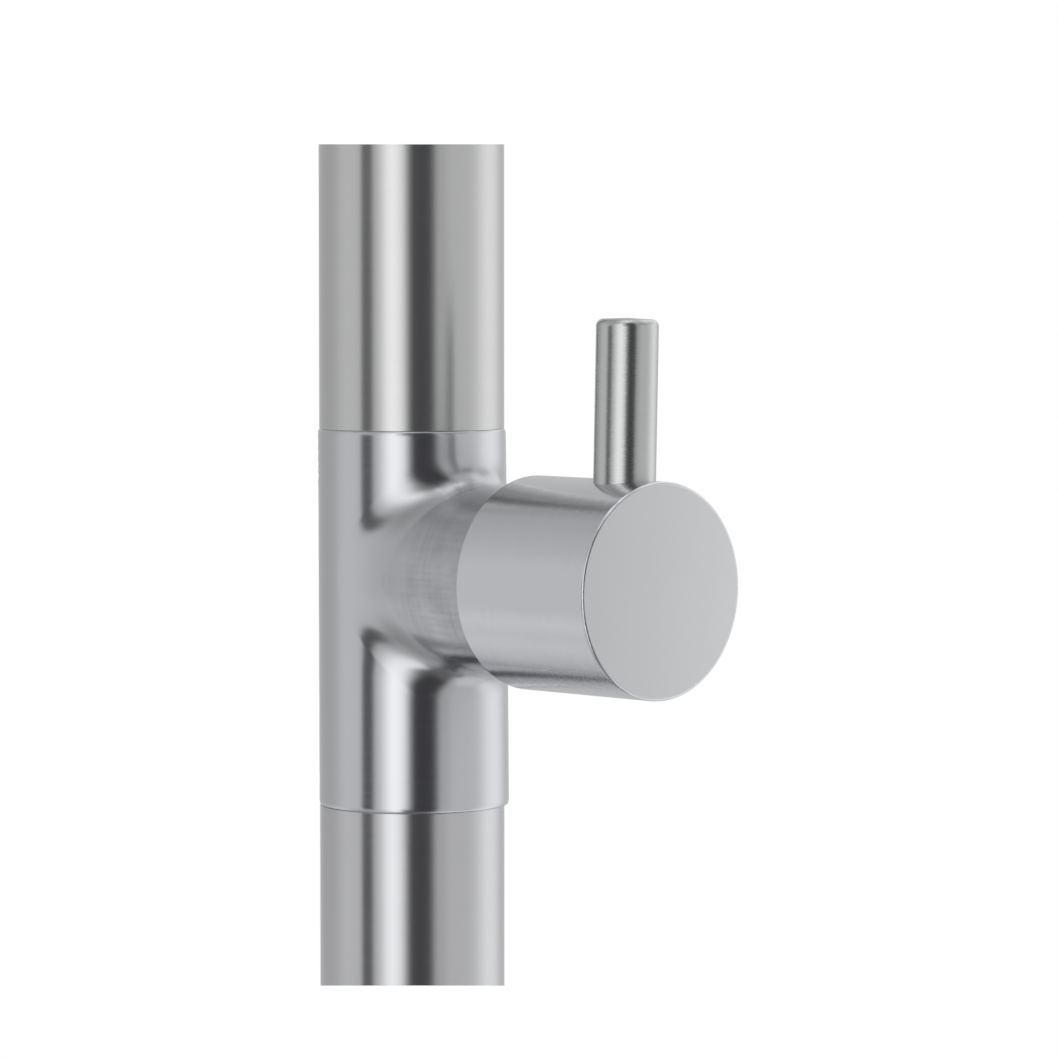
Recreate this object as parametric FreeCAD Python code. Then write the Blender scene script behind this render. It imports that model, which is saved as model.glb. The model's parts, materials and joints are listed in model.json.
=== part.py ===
# Garden shower column in brushed stainless steel.
# Millimetres. Origin: centre of the base plate's underside. +Z runs up the column, the valve
# branch, the arm and the head point along -Y, and the hose inlet points along +Y.
import FreeCAD, Part
import math
import os
from FreeCAD import Placement, Rotation, Vector

os.makedirs("parts", exist_ok=True)

# Clearances
slip_gap = 0.1          # push fits of tubes, spigots and discs, on the radius
run_gap = 0.05          # turning fits, on the radius
thread_gap = 0.08       # thread flanks, drawn as plain cylinders, on the radius
face_gap = 0.05         # between lapped faces that slide on each other
seal_gap = 0.02         # left between a seal and the wall that it presses on
cut_past = 1.0          # how far a cutter runs past the face that it opens
fine_edge = 0.3         # edges of small turned pieces
turned_edge = 0.5       # edges of hidden turned pieces
lead_edge = 1.0         # leading edge of a spigot that enters a tube

# Heights above the ground
valve_height = 1100.0
arm_height = 2120.0
inlet_height = 150.0
drain_height = 105.0

# Column tubes
tube_od = 42.4
tube_wall = 2.0
tube_edge = 0.45
tube_above_arm = 34.0

# Base
plate_diameter = 240.0
plate_thickness = 8.0
plate_edge = 1.5
bolt_circle = 200.0
bolt_count = 4
bolt_hole = 11.0
bolt_hole_edge = 0.8
foot_spigot_length = 62.0
foot_spigot_bore = 16.0
foot_bore_depth = 22.0
foot_ring_from_end = 8.0
foot_ring_step = 8.0
foot_stud_length = 5.0
foot_stud_diameter = 20.0
collar_height = 14.0
collar_wall = 6.0
collar_edge = 1.5

# Seals round spigots
ring_groove_width = 3.4
ring_groove_depth = 2.4

# Grub screws
grub_diameter = 6.0
grub_length = 7.0
grub_hex = 3.0
grub_hex_depth = 3.0
grub_below_skin = 0.3
grub_tip_room = 0.5     # left free under a set screw's tip
foot_grub_count = 3
foot_grub_height = 26.0
foot_grub_turn = 60.0   # degrees from the rear to the first one

# Valve body: a tee whose column part stands between the two tubes
tee_od = 43.0
tee_above_axis = 33.4
tee_below_axis = 53.0
tee_edge = 1.3
tee_bore = 24.0
tee_spigot_length = 32.0
tee_grub_from_seam = 14.0
tee_ring_from_end = 5.0
tee_ring_from_seam = 5.5
neck_od = 42.2
neck_blend = 7.0
neck_edge = 0.6
skirt_overlap = 5.0     # how far the knob's skirt reaches back over the neck
passage_diameter = 11.0
inlet_riser_offset = 9.0
outlet_riser_offset = 10.0
upper_bore_floor = 16.0
lower_bore_roof = 18.0
seat_bore = 10.0

# Quarter-turn cartridge, screwed into the branch; distances run outward from the column axis
chamber_bore = 19.0
chamber_length = 26.0
cartridge_thread = 20.9
cartridge_hex = 27.0
cartridge_hex_length = 5.6
cartridge_wall = 1.3
seat_seal_thickness = 3.0
seat_seal_squeeze = 0.02
disc_thickness = 3.0
disc_window_radius = 6.4
disc_window_hub = 1.4
side_window_width = 8.0
side_window_length = 6.0
spindle_diameter = 9.0
spindle_foot_thickness = 2.4
spindle_hub_bore = 11.2
spindle_hub_start = 12.0        # from the spindle's foot to the wider bore
spindle_window_floor = 0.8      # left of the spindle's foot over its waterway
spindle_spline_diameter = 8.0
spindle_spline_length = 17.0
spindle_spline_teeth = 20
spindle_spline_depth = 0.45
spline_gap_width = 0.55
spline_gap = 0.02       # between the spindle's splines and the insert, on the radius
spline_from_floor = 1.5         # where the splines start, beyond the skirt's floor
spindle_ring_width = 2.6
spindle_ring_depth = 1.3
spindle_ring_start = 4.0        # first ring, from the spindle's foot
spindle_ring_step = 4.5
clip_thickness = 1.0
clip_height = 1.6
clip_groove_depth = 0.6
clip_side_gap = 0.05
clip_mouth = 0.8        # width of the clip's mouth as a share of its bore
clip_above_hex = 0.2

# Knob and lever
knob_diameter = 48.0
knob_rear = 41.2
knob_face = 81.7
knob_edge = 0.75
knob_rear_edge = 0.3
skirt_root = 0.8
skirt_gap = 0.7
skirt_depth = 14.0
knob_face_thickness = 4.5
insert_diameter = 18.0
insert_length = 22.0
lever_diameter = 13.8
lever_edge = 1.2
lever_top = 59.5        # above the branch axis
lever_axis = 69.3       # from the column axis
lever_lean = 1.4        # degrees, the spline's nearest tooth to upright
lever_pocket_floor = 20.5
lever_foot_edge = 0.5
lever_pocket_gap = 0.06         # round the lever's foot, on the radius
lever_thread = 8.0
lever_bite = 2.4        # how deep the lever's stud enters the insert
knob_grub_offset = 63.5
knob_grub_bite = 1.2

# Hose inlet
boss_diameter = 32.0
boss_reach = 16.0       # beyond the tube's skin
boss_edge = 1.0
inlet_thread = 20.955
inlet_thread_length = 14.0
inlet_hex = 27.0
inlet_hex_length = 7.0
inlet_bore = 14.0
inlet_tail_length = 12.0
inlet_tail_wall = 3.0
inlet_washer_inset = 0.5        # inside the hexagon, on the radius
inlet_washer_thickness = 1.5
strainer_wall = 0.8
strainer_length = 13.0
strainer_rim = 1.2
strainer_hole = 1.6
strainer_rows = 3
strainer_row_step = 3.0
strainer_per_row = 10

# Drain screw
drain_thread = 8.0
drain_thread_length = 5.0
drain_head = 14.0
drain_head_length = 5.0
drain_slot_width = 1.6
drain_slot_depth = 1.8
drain_washer_thickness = 1.2
drain_flat = 1.4        # depth of the spot face under the washer
drain_flat_margin = 1.0         # of the spot face round the head
drain_head_edge = 1.0

# Top cap
cap_thickness = 5.0
cap_spigot_length = 22.0
cap_ring_from_end = 4.0
cap_edge = 1.2
cap_grub_from_rim = 10.5

# Arm
arm_od = 22.0
arm_wall = 1.5
arm_reach = 380.0       # from the column axis to the head's axis
arm_bend_radius = 48.0
arm_drop = 26.0         # straight end below the bend
arm_socket_od = 32.0
arm_socket_reach = 28.0
arm_socket_edge = 1.5
arm_insertion = 24.0
arm_grub_from_mouth = 8.0
arm_seal_from_mouth = 17.0

# Ball joint under the arm
stud_hex = 30.0
stud_sleeve_length = 20.0
stud_thread_depth = 15.0
stud_washer_thickness = 2.0
ball_diameter = 18.0
ball_below_sleeve = 19.0
stud_neck_diameter = 9.0
stud_water_bore = 6.0
ball_fit = 0.15
ball_flat = 0.8         # cut off the ball's underside round its water hole
head_tilt_limit = 15.0

# Shower head
head_diameter = 200.0
head_rim_height = 9.0
head_edge = 1.6
head_wall = 1.6
head_cone_diameter = 62.0
head_cone_height = 9.0
head_neck_od = 30.0
head_neck_height = 14.0
head_neck_wall = 3.6
collar_nut_od = 36.0
collar_nut_wall = 3.2
collar_nut_height = 14.0
collar_nut_mouth = 13.2
collar_nut_grips = 24
collar_nut_grip = 0.6
collar_nut_top_edge = 1.4
neck_mouth_edge = 0.6
neck_root = 4.0         # rounding where the neck meets the cone
cone_root = 8.0         # rounding where the cone meets the flat
cone_inset = 4.0        # of the cone's inside from its outside
neck_below_ball = 3.0
shoulder_height = 3.0
socket_height = 6.0
socket_bore = 7.0
socket_above_neck = 1.0
ledge_height = 2.0
ball_seal_height = 2.6
ball_seal_bore = 10.8
plate_inset = 1.2
plate_sheet = 2.4
nozzle_hole = 3.4
nozzle_bore = 1.2
nozzle_stand = 2.6
nozzle_flange = 0.8
nozzle_gap = 0.02       # in its hole, on the radius
nozzle_taper = 0.75     # tip's diameter as a share of the hole's
nozzle_rings = 6
nozzle_ring_step = 13.0
nozzles_per_ring = 6
plate_screw_count = 6
plate_screw_circle = 176.0
plate_screw_diameter = 3.0
plate_screw_head = 5.6
plate_screw_head_height = 1.6
plate_screw_head_edge = 0.7
plate_screw_reach = 3.0         # beyond the plate, into its post
plate_screw_key = 2.0
plate_screw_key_depth = 1.0
plate_post_diameter = 7.0
post_root = 0.4         # how far a post runs into the roof
screen_thickness = 1.0
screen_below_neck = 1.0
screen_hole = 1.4
screen_rings = 3
screen_per_ring = 6
screen_ring_step = 2.8

# Worked out from the above
tube_radius = tube_od / 2
tube_inner = tube_radius - tube_wall
spigot_radius = tube_inner - slip_gap
ring_floor = spigot_radius - ring_groove_depth
tee_radius = tee_od / 2
neck_radius = neck_od / 2
neck_end = knob_rear + skirt_overlap
tee_top = valve_height + tee_above_axis
tee_bottom = valve_height - tee_below_axis
column_top = arm_height + tube_above_arm
knob_radius = knob_diameter / 2
skirt_inner = neck_radius + skirt_gap
skirt_floor = knob_rear + skirt_depth
boss_face = tube_radius + boss_reach
arm_mouth = tube_radius + arm_socket_reach
arm_start = arm_mouth - arm_insertion
arm_end_height = arm_height - arm_bend_radius - arm_drop
cartridge_bore = chamber_bore / 2 - slip_gap - cartridge_wall
disc_radius = cartridge_bore - run_gap
seal_outer = seat_seal_thickness - seat_seal_squeeze
fixed_disc_outer = seal_outer + disc_thickness
turning_disc_inner = fixed_disc_outer + face_gap
turning_disc_outer = turning_disc_inner + disc_thickness
spindle_foot_outer = turning_disc_outer + spindle_foot_thickness
cartridge_end = neck_end + cartridge_hex_length
spline_start = skirt_floor + spline_from_floor
stud_tip = insert_diameter / 2 - lever_bite
knob_grub_tip = insert_diameter / 2 - knob_grub_bite
sleeve_bottom = arm_end_height + stud_thread_depth - stud_sleeve_length
ball_height = sleeve_bottom - ball_below_sleeve
ball_radius = ball_diameter / 2
inlet_tail_radius = inlet_bore / 2 + inlet_tail_wall
grub_floor = tube_radius - grub_below_skin - grub_length - grub_tip_room
spindle_ring_places = [spindle_foot_outer + spindle_ring_start,
                       spindle_foot_outer + spindle_ring_start + spindle_ring_step]
clip_place = cartridge_end + clip_above_hex + clip_thickness / 2

# Heights in the head run from the ball's centre
shell_neck_bottom = -ball_radius - neck_below_ball
shell_shoulder = shell_neck_bottom - shoulder_height
head_top = shell_shoulder - head_cone_height
head_bottom = head_top - head_rim_height
plate_bottom = head_bottom + plate_inset
plate_top = plate_bottom + plate_sheet
socket_floor = shell_neck_bottom + socket_above_neck

ON_AXIS = Rotation()
FORWARD = Rotation(Vector(0, 0, 1), Vector(0, -1, 0))
REARWARD = Rotation(Vector(0, 0, 1), Vector(0, 1, 0))
COLUMN = Placement(Vector(0, 0, 0), ON_AXIS)
BRANCH = Placement(Vector(0, 0, valve_height), FORWARD)
INLET = Placement(Vector(0, 0, inlet_height), REARWARD)
DRAIN = Placement(Vector(0, 0, drain_height), REARWARD)
ARM = Placement(Vector(0, 0, arm_height), FORWARD)
HEAD = Placement(Vector(0, -arm_reach, ball_height), ON_AXIS)


def outline(corners):
    """Closed wire through (radius, along) corners, each with an optional rounding."""
    count = len(corners)
    starts = []
    ends = []
    arcs = []
    for index in range(count):
        here = corners[index]
        point = Vector(here[0], 0, here[1])
        rounding = here[2] if len(here) > 2 else 0.0
        if rounding == 0.0:
            starts.append(point)
            ends.append(point)
            arcs.append(None)
            continue
        before = corners[index - 1]
        after = corners[(index + 1) % count]
        back = (Vector(before[0], 0, before[1]) - point).normalize()
        ahead = (Vector(after[0], 0, after[1]) - point).normalize()
        half = back.getAngle(ahead) / 2
        reach = rounding / math.tan(half)
        middle = (back + ahead).normalize()
        top = point + middle * (rounding / math.sin(half) - rounding)
        starts.append(point + back * reach)
        ends.append(point + ahead * reach)
        arcs.append(top)
    edges = []
    for index in range(count):
        following = (index + 1) % count
        if arcs[index] is not None:
            edges.append(Part.Arc(starts[index], arcs[index], ends[index]).toShape())
        if ends[index].distanceToPoint(starts[following]) > 1e-7:
            edges.append(Part.LineSegment(ends[index], starts[following]).toShape())
    return Part.Wire(edges)


def turned(corners, place=COLUMN):
    """A lathe-turned solid: corners are (radius, distance along the axis, rounding)."""
    solid = Part.Face(outline(corners)).revolve(Vector(0, 0, 0), Vector(0, 0, 1), 360)
    solid = Part.Solid(solid) if solid.ShapeType != "Solid" else solid
    solid.Placement = place
    return solid


def rod(radius, near, far, place=COLUMN, x=0.0, y=0.0):
    """A plain cylinder from near to far along the place's axis."""
    low = min(near, far)
    bar = Part.makeCylinder(radius, abs(far - near), Vector(x, y, low))
    bar.Placement = place.multiply(bar.Placement)
    return bar


def pipe(outer, inner, near, far, place=COLUMN, edge=0.0):
    """A tube from near to far with both outer edges rounded."""
    corners = [(inner, near), (outer, near, edge), (outer, far, edge), (inner, far)]
    return turned(corners, place)


def hexagon(across, near, far, place=COLUMN, bore=0.0):
    """A hexagonal bar with its corners turned off, bored through if a bore is given."""
    corner_radius = across / math.sqrt(3)
    points = []
    for index in range(7):
        angle = math.radians(60 * index)
        points.append(Vector(corner_radius * math.cos(angle), corner_radius * math.sin(angle), near))
    bar = Part.Face(Part.makePolygon(points)).extrude(Vector(0, 0, far - near))
    turned_radius = (corner_radius + across / 2) / 2
    edge = corner_radius - turned_radius
    blank = turned([(0, near), (corner_radius, near, edge), (corner_radius, far, edge), (0, far)])
    bar = bar.common(blank)
    if bore > 0:
        bar = bar.cut(rod(bore, near, far))
    bar.Placement = place
    return bar


def around(shape, count, place=COLUMN, phase=0.0):
    """Copies of a shape spaced evenly round the place's axis."""
    axis = place.Rotation.multVec(Vector(0, 0, 1))
    copies = []
    for index in range(count):
        copy = shape.copy()
        copy.rotate(place.Base, axis, phase + 360.0 * index / count)
        copies.append(copy)
    return copies


def o_ring(floor, wall, along, place=COLUMN):
    """A round seal lying in a groove, pressed between its floor and the wall round it."""
    thickness = (wall - floor - 2 * seal_gap) / 2
    ring = Part.makeTorus((floor + wall) / 2, thickness, Vector(0, 0, along))
    ring.Placement = place.multiply(ring.Placement)
    return ring


def groove(outer, floor, along, width):
    """Ring to cut away for a seal."""
    return pipe(outer + cut_past, floor, along - width / 2, along + width / 2)


def grub_screw(diameter, length, skin, place):
    """A socket set screw whose outer end lies just under the skin."""
    outer = skin - grub_below_skin
    screw = turned([(0, outer - length), (diameter / 2, outer - length, turned_edge),
                    (diameter / 2, outer, fine_edge), (0, outer)])
    key = hexagon(grub_hex, outer - grub_hex_depth, outer + cut_past)
    screw = screw.cut(key)
    screw.Placement = place.multiply(screw.Placement)
    return screw


def grub_hole(diameter, deep, skin, place):
    """Threaded hole for a set screw."""
    return rod(diameter / 2 + thread_gap, deep, skin + 2 * cut_past, place)


def radial_place(height, angle):
    """Axis that points out of the column at an angle round it, 0 being rearward."""
    place = Placement(Vector(0, 0, height), REARWARD)
    turn = Placement(Vector(0, 0, 0), Rotation(Vector(0, 0, 1), angle))
    return turn.multiply(place)


foot_grub_places = []
for number in range(foot_grub_count):
    turn_angle = foot_grub_turn + 360.0 * number / foot_grub_count
    foot_grub_places.append(radial_place(plate_thickness + foot_grub_height, turn_angle))
tee_grub_places = [radial_place(tee_bottom - tee_grub_from_seam, 0.0),
                   radial_place(tee_top + tee_grub_from_seam, 0.0)]
cap_grub_place = radial_place(column_top - cap_grub_from_rim, 0.0)
foot_spigot_top = plate_thickness + foot_spigot_length
foot_ring_heights = [foot_spigot_top - foot_ring_from_end,
                     foot_spigot_top - foot_ring_from_end - foot_ring_step]
tee_ring_heights = [tee_bottom - tee_spigot_length + tee_ring_from_end, tee_bottom - tee_ring_from_seam,
                    tee_top + tee_spigot_length - tee_ring_from_end, tee_top + tee_ring_from_seam]
cap_ring_height = column_top - cap_spigot_length + cap_ring_from_end
lever_place = Placement(Vector(0, -lever_axis, valve_height), Rotation(Vector(0, 1, 0), lever_lean))
knob_grub_place = Placement(Vector(0, -knob_grub_offset, valve_height),
                            Rotation(Vector(0, 1, 0), lever_lean + 180.0))
arm_grub_place = Placement(Vector(0, -(arm_mouth - arm_grub_from_mouth), arm_height),
                           Rotation(Vector(1, 0, 0), 180.0))


def base_plate():
    radius = plate_diameter / 2
    plate = turned([(0, 0), (radius, 0, plate_edge / 2), (radius, plate_thickness, plate_edge),
                    (0, plate_thickness)])
    above = plate_thickness + cut_past
    plate = plate.cut(rod(foot_stud_diameter / 2 + slip_gap, -cut_past, above))
    hole_radius = bolt_hole / 2
    hole = turned([(0, -cut_past), (hole_radius, -cut_past),
                   (hole_radius, plate_thickness - bolt_hole_edge),
                   (hole_radius + bolt_hole_edge, plate_thickness),
                   (hole_radius + bolt_hole_edge, above), (0, above)])
    hole.translate(Vector(bolt_circle / 2, 0, 0))
    for cutter in around(hole, bolt_count, phase=180.0 / bolt_count):
        plate = plate.cut(cutter)
    return plate


def base_spigot():
    top = foot_spigot_top
    bottom = plate_thickness - foot_stud_length
    stud = foot_stud_diameter / 2
    spigot = turned([(0, bottom), (stud, bottom, turned_edge), (stud, plate_thickness),
                     (spigot_radius, plate_thickness), (spigot_radius, top, lead_edge), (0, top)])
    for height in foot_ring_heights:
        spigot = spigot.cut(groove(spigot_radius, ring_floor, height, ring_groove_width))
    for place in foot_grub_places:
        spigot = spigot.cut(grub_hole(grub_diameter, grub_floor, spigot_radius, place))
    spigot = spigot.cut(rod(foot_spigot_bore / 2, top - foot_bore_depth, top + cut_past))
    return spigot


def base_collar():
    inner = tube_radius + slip_gap
    outer = inner + collar_wall
    top = plate_thickness + collar_height
    return turned([(inner, plate_thickness), (outer, plate_thickness), (outer, top, collar_edge),
                   (inner, top)])


def lower_tube():
    tube = pipe(tube_radius, tube_inner, plate_thickness, tee_bottom, edge=tube_edge)
    for place in foot_grub_places:
        tube = tube.cut(grub_hole(grub_diameter, 0, tube_radius, place))
    tube = tube.cut(grub_hole(grub_diameter, 0, tube_radius, tee_grub_places[0]))
    tube = tube.cut(rod(inlet_tail_radius, 0, tube_radius + cut_past, INLET))
    tube = tube.cut(rod(drain_thread / 2 + thread_gap, 0, tube_radius + cut_past, DRAIN))
    seat = drain_head / 2 + drain_flat_margin
    tube = tube.cut(rod(seat, tube_radius - drain_flat, tube_radius + cut_past, DRAIN))
    return tube


def upper_tube():
    tube = pipe(tube_radius, tube_inner, tee_top, column_top, edge=tube_edge)
    tube = tube.cut(grub_hole(grub_diameter, 0, tube_radius, tee_grub_places[1]))
    tube = tube.cut(grub_hole(grub_diameter, 0, tube_radius, cap_grub_place))
    tube = tube.cut(rod(arm_od / 2 - arm_wall, 0, tube_radius + cut_past, ARM))
    return tube


def tee_body():
    low = tee_bottom - tee_spigot_length
    high = tee_top + tee_spigot_length
    column = turned([(0, low), (spigot_radius, low, lead_edge), (spigot_radius, tee_bottom),
                     (tee_radius, tee_bottom, tee_edge), (tee_radius, tee_top, tee_edge),
                     (spigot_radius, tee_top), (spigot_radius, high, lead_edge), (0, high)])
    neck = turned([(0, 0), (neck_radius, 0), (neck_radius, neck_end, neck_edge), (0, neck_end)],
                  BRANCH)
    body = column.fuse(neck)
    seam = []
    for edge in body.Edges:
        box = edge.BoundBox
        inside = box.ZMin > tee_bottom + tee_edge and box.ZMax < tee_top - tee_edge
        touching = box.YMax < 0 and box.YMin > -tee_radius - cut_past and box.YMax > -tee_radius
        if inside and touching and box.XLength > neck_radius:
            seam.append(edge)
    body = body.makeFillet(neck_blend, seam)
    for height in tee_ring_heights:
        body = body.cut(groove(spigot_radius, ring_floor, height, ring_groove_width))
    for place in tee_grub_places:
        body = body.cut(grub_hole(grub_diameter, grub_floor, spigot_radius, place))
    riser = passage_diameter / 2
    body = body.cut(rod(tee_bore / 2, low - cut_past, valve_height - lower_bore_roof))
    body = body.cut(rod(tee_bore / 2, valve_height + upper_bore_floor, high + cut_past))
    body = body.cut(rod(riser, valve_height - lower_bore_roof - cut_past, valve_height + riser / 2,
                        y=inlet_riser_offset))
    body = body.cut(rod(seat_bore / 2, -inlet_riser_offset, cut_past, BRANCH))
    body = body.cut(rod(riser, valve_height, valve_height + upper_bore_floor + cut_past,
                        y=-outlet_riser_offset))
    body = body.cut(rod(chamber_bore / 2, 0, chamber_length, BRANCH))
    body = body.cut(rod(cartridge_thread / 2 + thread_gap, chamber_length, neck_end + cut_past, BRANCH))
    return body


def cartridge_body():
    slim = chamber_bore / 2 - slip_gap
    thread = cartridge_thread / 2
    hub = spindle_hub_bore / 2
    hub_start = spindle_foot_outer + spindle_hub_start
    shaft = spindle_diameter / 2 + run_gap
    shell = turned([(cartridge_bore, seal_outer), (slim, seal_outer), (slim, chamber_length),
                    (thread, chamber_length, turned_edge), (thread, neck_end), (hub, neck_end),
                    (hub, hub_start), (shaft, hub_start), (shaft, spindle_foot_outer + run_gap),
                    (cartridge_bore, spindle_foot_outer + run_gap)])
    head = hexagon(cartridge_hex, neck_end, cartridge_end, bore=shaft)
    shell = shell.fuse(head)
    window = Part.makeBox(chamber_bore + 2 * cut_past, side_window_width, side_window_length,
                          Vector(-chamber_bore / 2 - cut_past, -side_window_width / 2,
                                 turning_disc_inner - cut_past))
    shell = shell.cut(window)
    window.rotate(Vector(0, 0, 0), Vector(0, 0, 1), 90)
    shell = shell.cut(window)
    shell.Placement = BRANCH
    return shell


def seat_seal():
    outer = chamber_bore / 2 - slip_gap
    return turned([(seat_bore / 2, 0), (outer, 0, fine_edge), (outer, seal_outer, fine_edge),
                   (seat_bore / 2, seal_outer)], BRANCH)


def ceramic_disc(near, far, turn):
    """Lapped ceramic disc with two quarter-circle windows."""
    disc = rod(disc_radius, near, far)
    window = pipe(disc_window_radius, disc_window_hub, near - cut_past, far + cut_past)
    half = Part.makeBox(2 * disc_radius, 2 * disc_radius, far - near + 2 * cut_past,
                        Vector(disc_window_hub / 2, disc_window_hub / 2, near - cut_past))
    quarter = window.common(half)
    for cutter in around(quarter, 2, phase=turn):
        disc = disc.cut(cutter)
    disc.Placement = BRANCH
    return disc


def spindle():
    shaft = spindle_diameter / 2
    tip = spindle_spline_diameter / 2
    end = spline_start + spindle_spline_length
    body = turned([(0, turning_disc_outer), (disc_radius, turning_disc_outer),
                   (disc_radius, spindle_foot_outer), (shaft, spindle_foot_outer),
                   (shaft, spline_start), (tip, spline_start), (tip, end, turned_edge), (0, end)])
    window = pipe(disc_window_radius, disc_window_hub, turning_disc_outer - cut_past,
                  spindle_foot_outer - spindle_window_floor)
    slot = Part.makeBox(4 * disc_radius, side_window_width, 2 * spindle_foot_thickness,
                        Vector(-2 * disc_radius, -side_window_width / 2,
                               turning_disc_outer - cut_past))
    body = body.cut(window.common(slot))
    for along in spindle_ring_places:
        body = body.cut(groove(shaft, shaft - spindle_ring_depth, along, spindle_ring_width))
    body = body.cut(groove(shaft, shaft - clip_groove_depth, clip_place,
                           clip_thickness + 2 * clip_side_gap))
    tooth_gap = Part.makeBox(2 * spindle_spline_depth, spline_gap_width,
                             spindle_spline_length + cut_past,
                             Vector(tip - spindle_spline_depth, -spline_gap_width / 2,
                                    spline_start + cut_past))
    for cutter in around(tooth_gap, spindle_spline_teeth):
        body = body.cut(cutter)
    body.Placement = BRANCH
    return body


def spindle_seals():
    shaft = spindle_diameter / 2
    rings = []
    for along in spindle_ring_places:
        rings.append(o_ring(shaft - spindle_ring_depth, shaft + run_gap, along, BRANCH))
    return rings


def spindle_clip():
    inner = spindle_diameter / 2 - clip_groove_depth + run_gap
    clip = pipe(inner + clip_height, inner, clip_place - clip_thickness / 2,
                clip_place + clip_thickness / 2)
    half_mouth = inner * clip_mouth
    mouth = Part.makeBox(spindle_diameter, 2 * half_mouth, 2 * clip_thickness,
                         Vector(0, -half_mouth, clip_place - clip_thickness))
    clip = clip.cut(mouth)
    clip.Placement = BRANCH
    return clip


def knob_insert():
    bore = spindle_spline_diameter / 2 + spline_gap
    outer = insert_diameter / 2 - slip_gap
    insert = pipe(outer, bore, skirt_floor, skirt_floor + insert_length, edge=turned_edge)
    insert = insert.cut(rod(spindle_diameter / 2 + slip_gap, skirt_floor - cut_past,
                            spline_start + slip_gap))
    insert.Placement = BRANCH
    insert = insert.cut(rod(lever_thread / 2 + thread_gap, stud_tip - slip_gap, outer, lever_place))
    return insert.cut(rod(grub_diameter / 2 + thread_gap, knob_grub_tip, outer, knob_grub_place))


def knob_body():
    hub = insert_diameter / 2
    body = turned([(skirt_inner, knob_rear), (knob_radius, knob_rear, knob_rear_edge),
                   (knob_radius, knob_face, knob_edge), (0, knob_face),
                   (0, knob_face - knob_face_thickness), (hub, knob_face - knob_face_thickness),
                   (hub, skirt_floor), (skirt_inner, skirt_floor, skirt_root)], BRANCH)
    body = body.cut(rod(lever_diameter / 2 + lever_pocket_gap, lever_pocket_floor,
                        knob_radius + cut_past, lever_place))
    body = body.cut(rod(lever_thread / 2 + thread_gap, hub / 2, knob_radius, lever_place))
    body = body.cut(grub_hole(grub_diameter, hub / 2, knob_radius, knob_grub_place))
    return body


def lever_pin():
    radius = lever_diameter / 2
    stud = lever_thread / 2
    foot = lever_pocket_floor + face_gap
    return turned([(0, stud_tip), (stud, stud_tip, turned_edge), (stud, foot),
                   (radius, foot, lever_foot_edge),
                   (radius, lever_top, lever_edge), (0, lever_top)], lever_place)


def inlet_boss():
    outer = boss_diameter / 2
    inner = inlet_tail_radius
    boss = turned([(inner, 0), (outer, 0), (outer, boss_face, boss_edge), (inner, boss_face)], INLET)
    return boss.cut(rod(tube_radius, inlet_height - boss_diameter, inlet_height + boss_diameter))


def inlet_washer():
    outer = inlet_hex / 2 - inlet_washer_inset
    return pipe(outer, inlet_tail_radius, boss_face, boss_face + inlet_washer_thickness, INLET,
                fine_edge)


def inlet_nipple():
    bore = inlet_bore / 2
    tail = inlet_tail_radius - thread_gap
    seat = boss_face + inlet_washer_thickness
    hex_end = seat + inlet_hex_length
    end = hex_end + inlet_thread_length
    thread = inlet_thread / 2
    body = turned([(bore, seat - inlet_tail_length), (tail, seat - inlet_tail_length, turned_edge),
                   (tail, seat), (thread, seat), (thread, end, turned_edge),
                   (bore + strainer_rim, end), (bore + strainer_rim, end - strainer_rim),
                   (bore, end - strainer_rim)])
    nut = hexagon(inlet_hex, seat, hex_end, bore=bore)
    body = body.fuse(nut)
    body.Placement = INLET
    return body


def inlet_strainer():
    bore = inlet_bore / 2
    end = boss_face + inlet_washer_thickness + inlet_hex_length + inlet_thread_length
    outer = bore - slip_gap
    inner = outer - strainer_wall
    floor = end - strainer_length
    rim = outer + strainer_rim
    cup = turned([(0, floor), (outer, floor, turned_edge), (outer, end - strainer_rim),
                  (rim, end - strainer_rim), (rim, end), (inner, end),
                  (inner, floor + strainer_wall), (0, floor + strainer_wall)])
    for row in range(strainer_rows):
        along = floor + (row + 1) * strainer_row_step
        hole = Part.makeCylinder(strainer_hole / 2, strainer_wall + 2 * cut_past,
                                 Vector(inner - cut_past, 0, along), Vector(1, 0, 0))
        for cutter in around(hole, strainer_per_row, phase=180.0 / strainer_per_row * row):
            cup = cup.cut(cutter)
    cup.Placement = INLET
    return cup


def drain_washer():
    seat = tube_radius - drain_flat
    return pipe(drain_head / 2, drain_thread / 2 + thread_gap, seat, seat + drain_washer_thickness,
                DRAIN, fine_edge)


def drain_screw():
    seat = tube_radius - drain_flat + drain_washer_thickness
    end = seat + drain_head_length
    thread = drain_thread / 2
    screw = turned([(0, seat - drain_washer_thickness - drain_thread_length),
                    (thread, seat - drain_washer_thickness - drain_thread_length, turned_edge),
                    (thread, seat), (drain_head / 2, seat, fine_edge),
                    (drain_head / 2, end, drain_head_edge), (0, end)])
    slot = Part.makeBox(drain_head + 2 * cut_past, drain_slot_width, drain_slot_depth + cut_past,
                        Vector(-drain_head / 2 - cut_past, -drain_slot_width / 2,
                               end - drain_slot_depth))
    screw = screw.cut(slot)
    screw.Placement = DRAIN
    return screw


def top_cap():
    cap = turned([(0, column_top - cap_spigot_length),
                  (spigot_radius, column_top - cap_spigot_length, lead_edge),
                  (spigot_radius, column_top), (tube_radius, column_top, tube_edge),
                  (tube_radius, column_top + cap_thickness, cap_edge),
                  (0, column_top + cap_thickness)])
    cap = cap.cut(groove(spigot_radius, ring_floor, cap_ring_height, ring_groove_width))
    return cap.cut(grub_hole(grub_diameter, grub_floor, spigot_radius, cap_grub_place))


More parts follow.
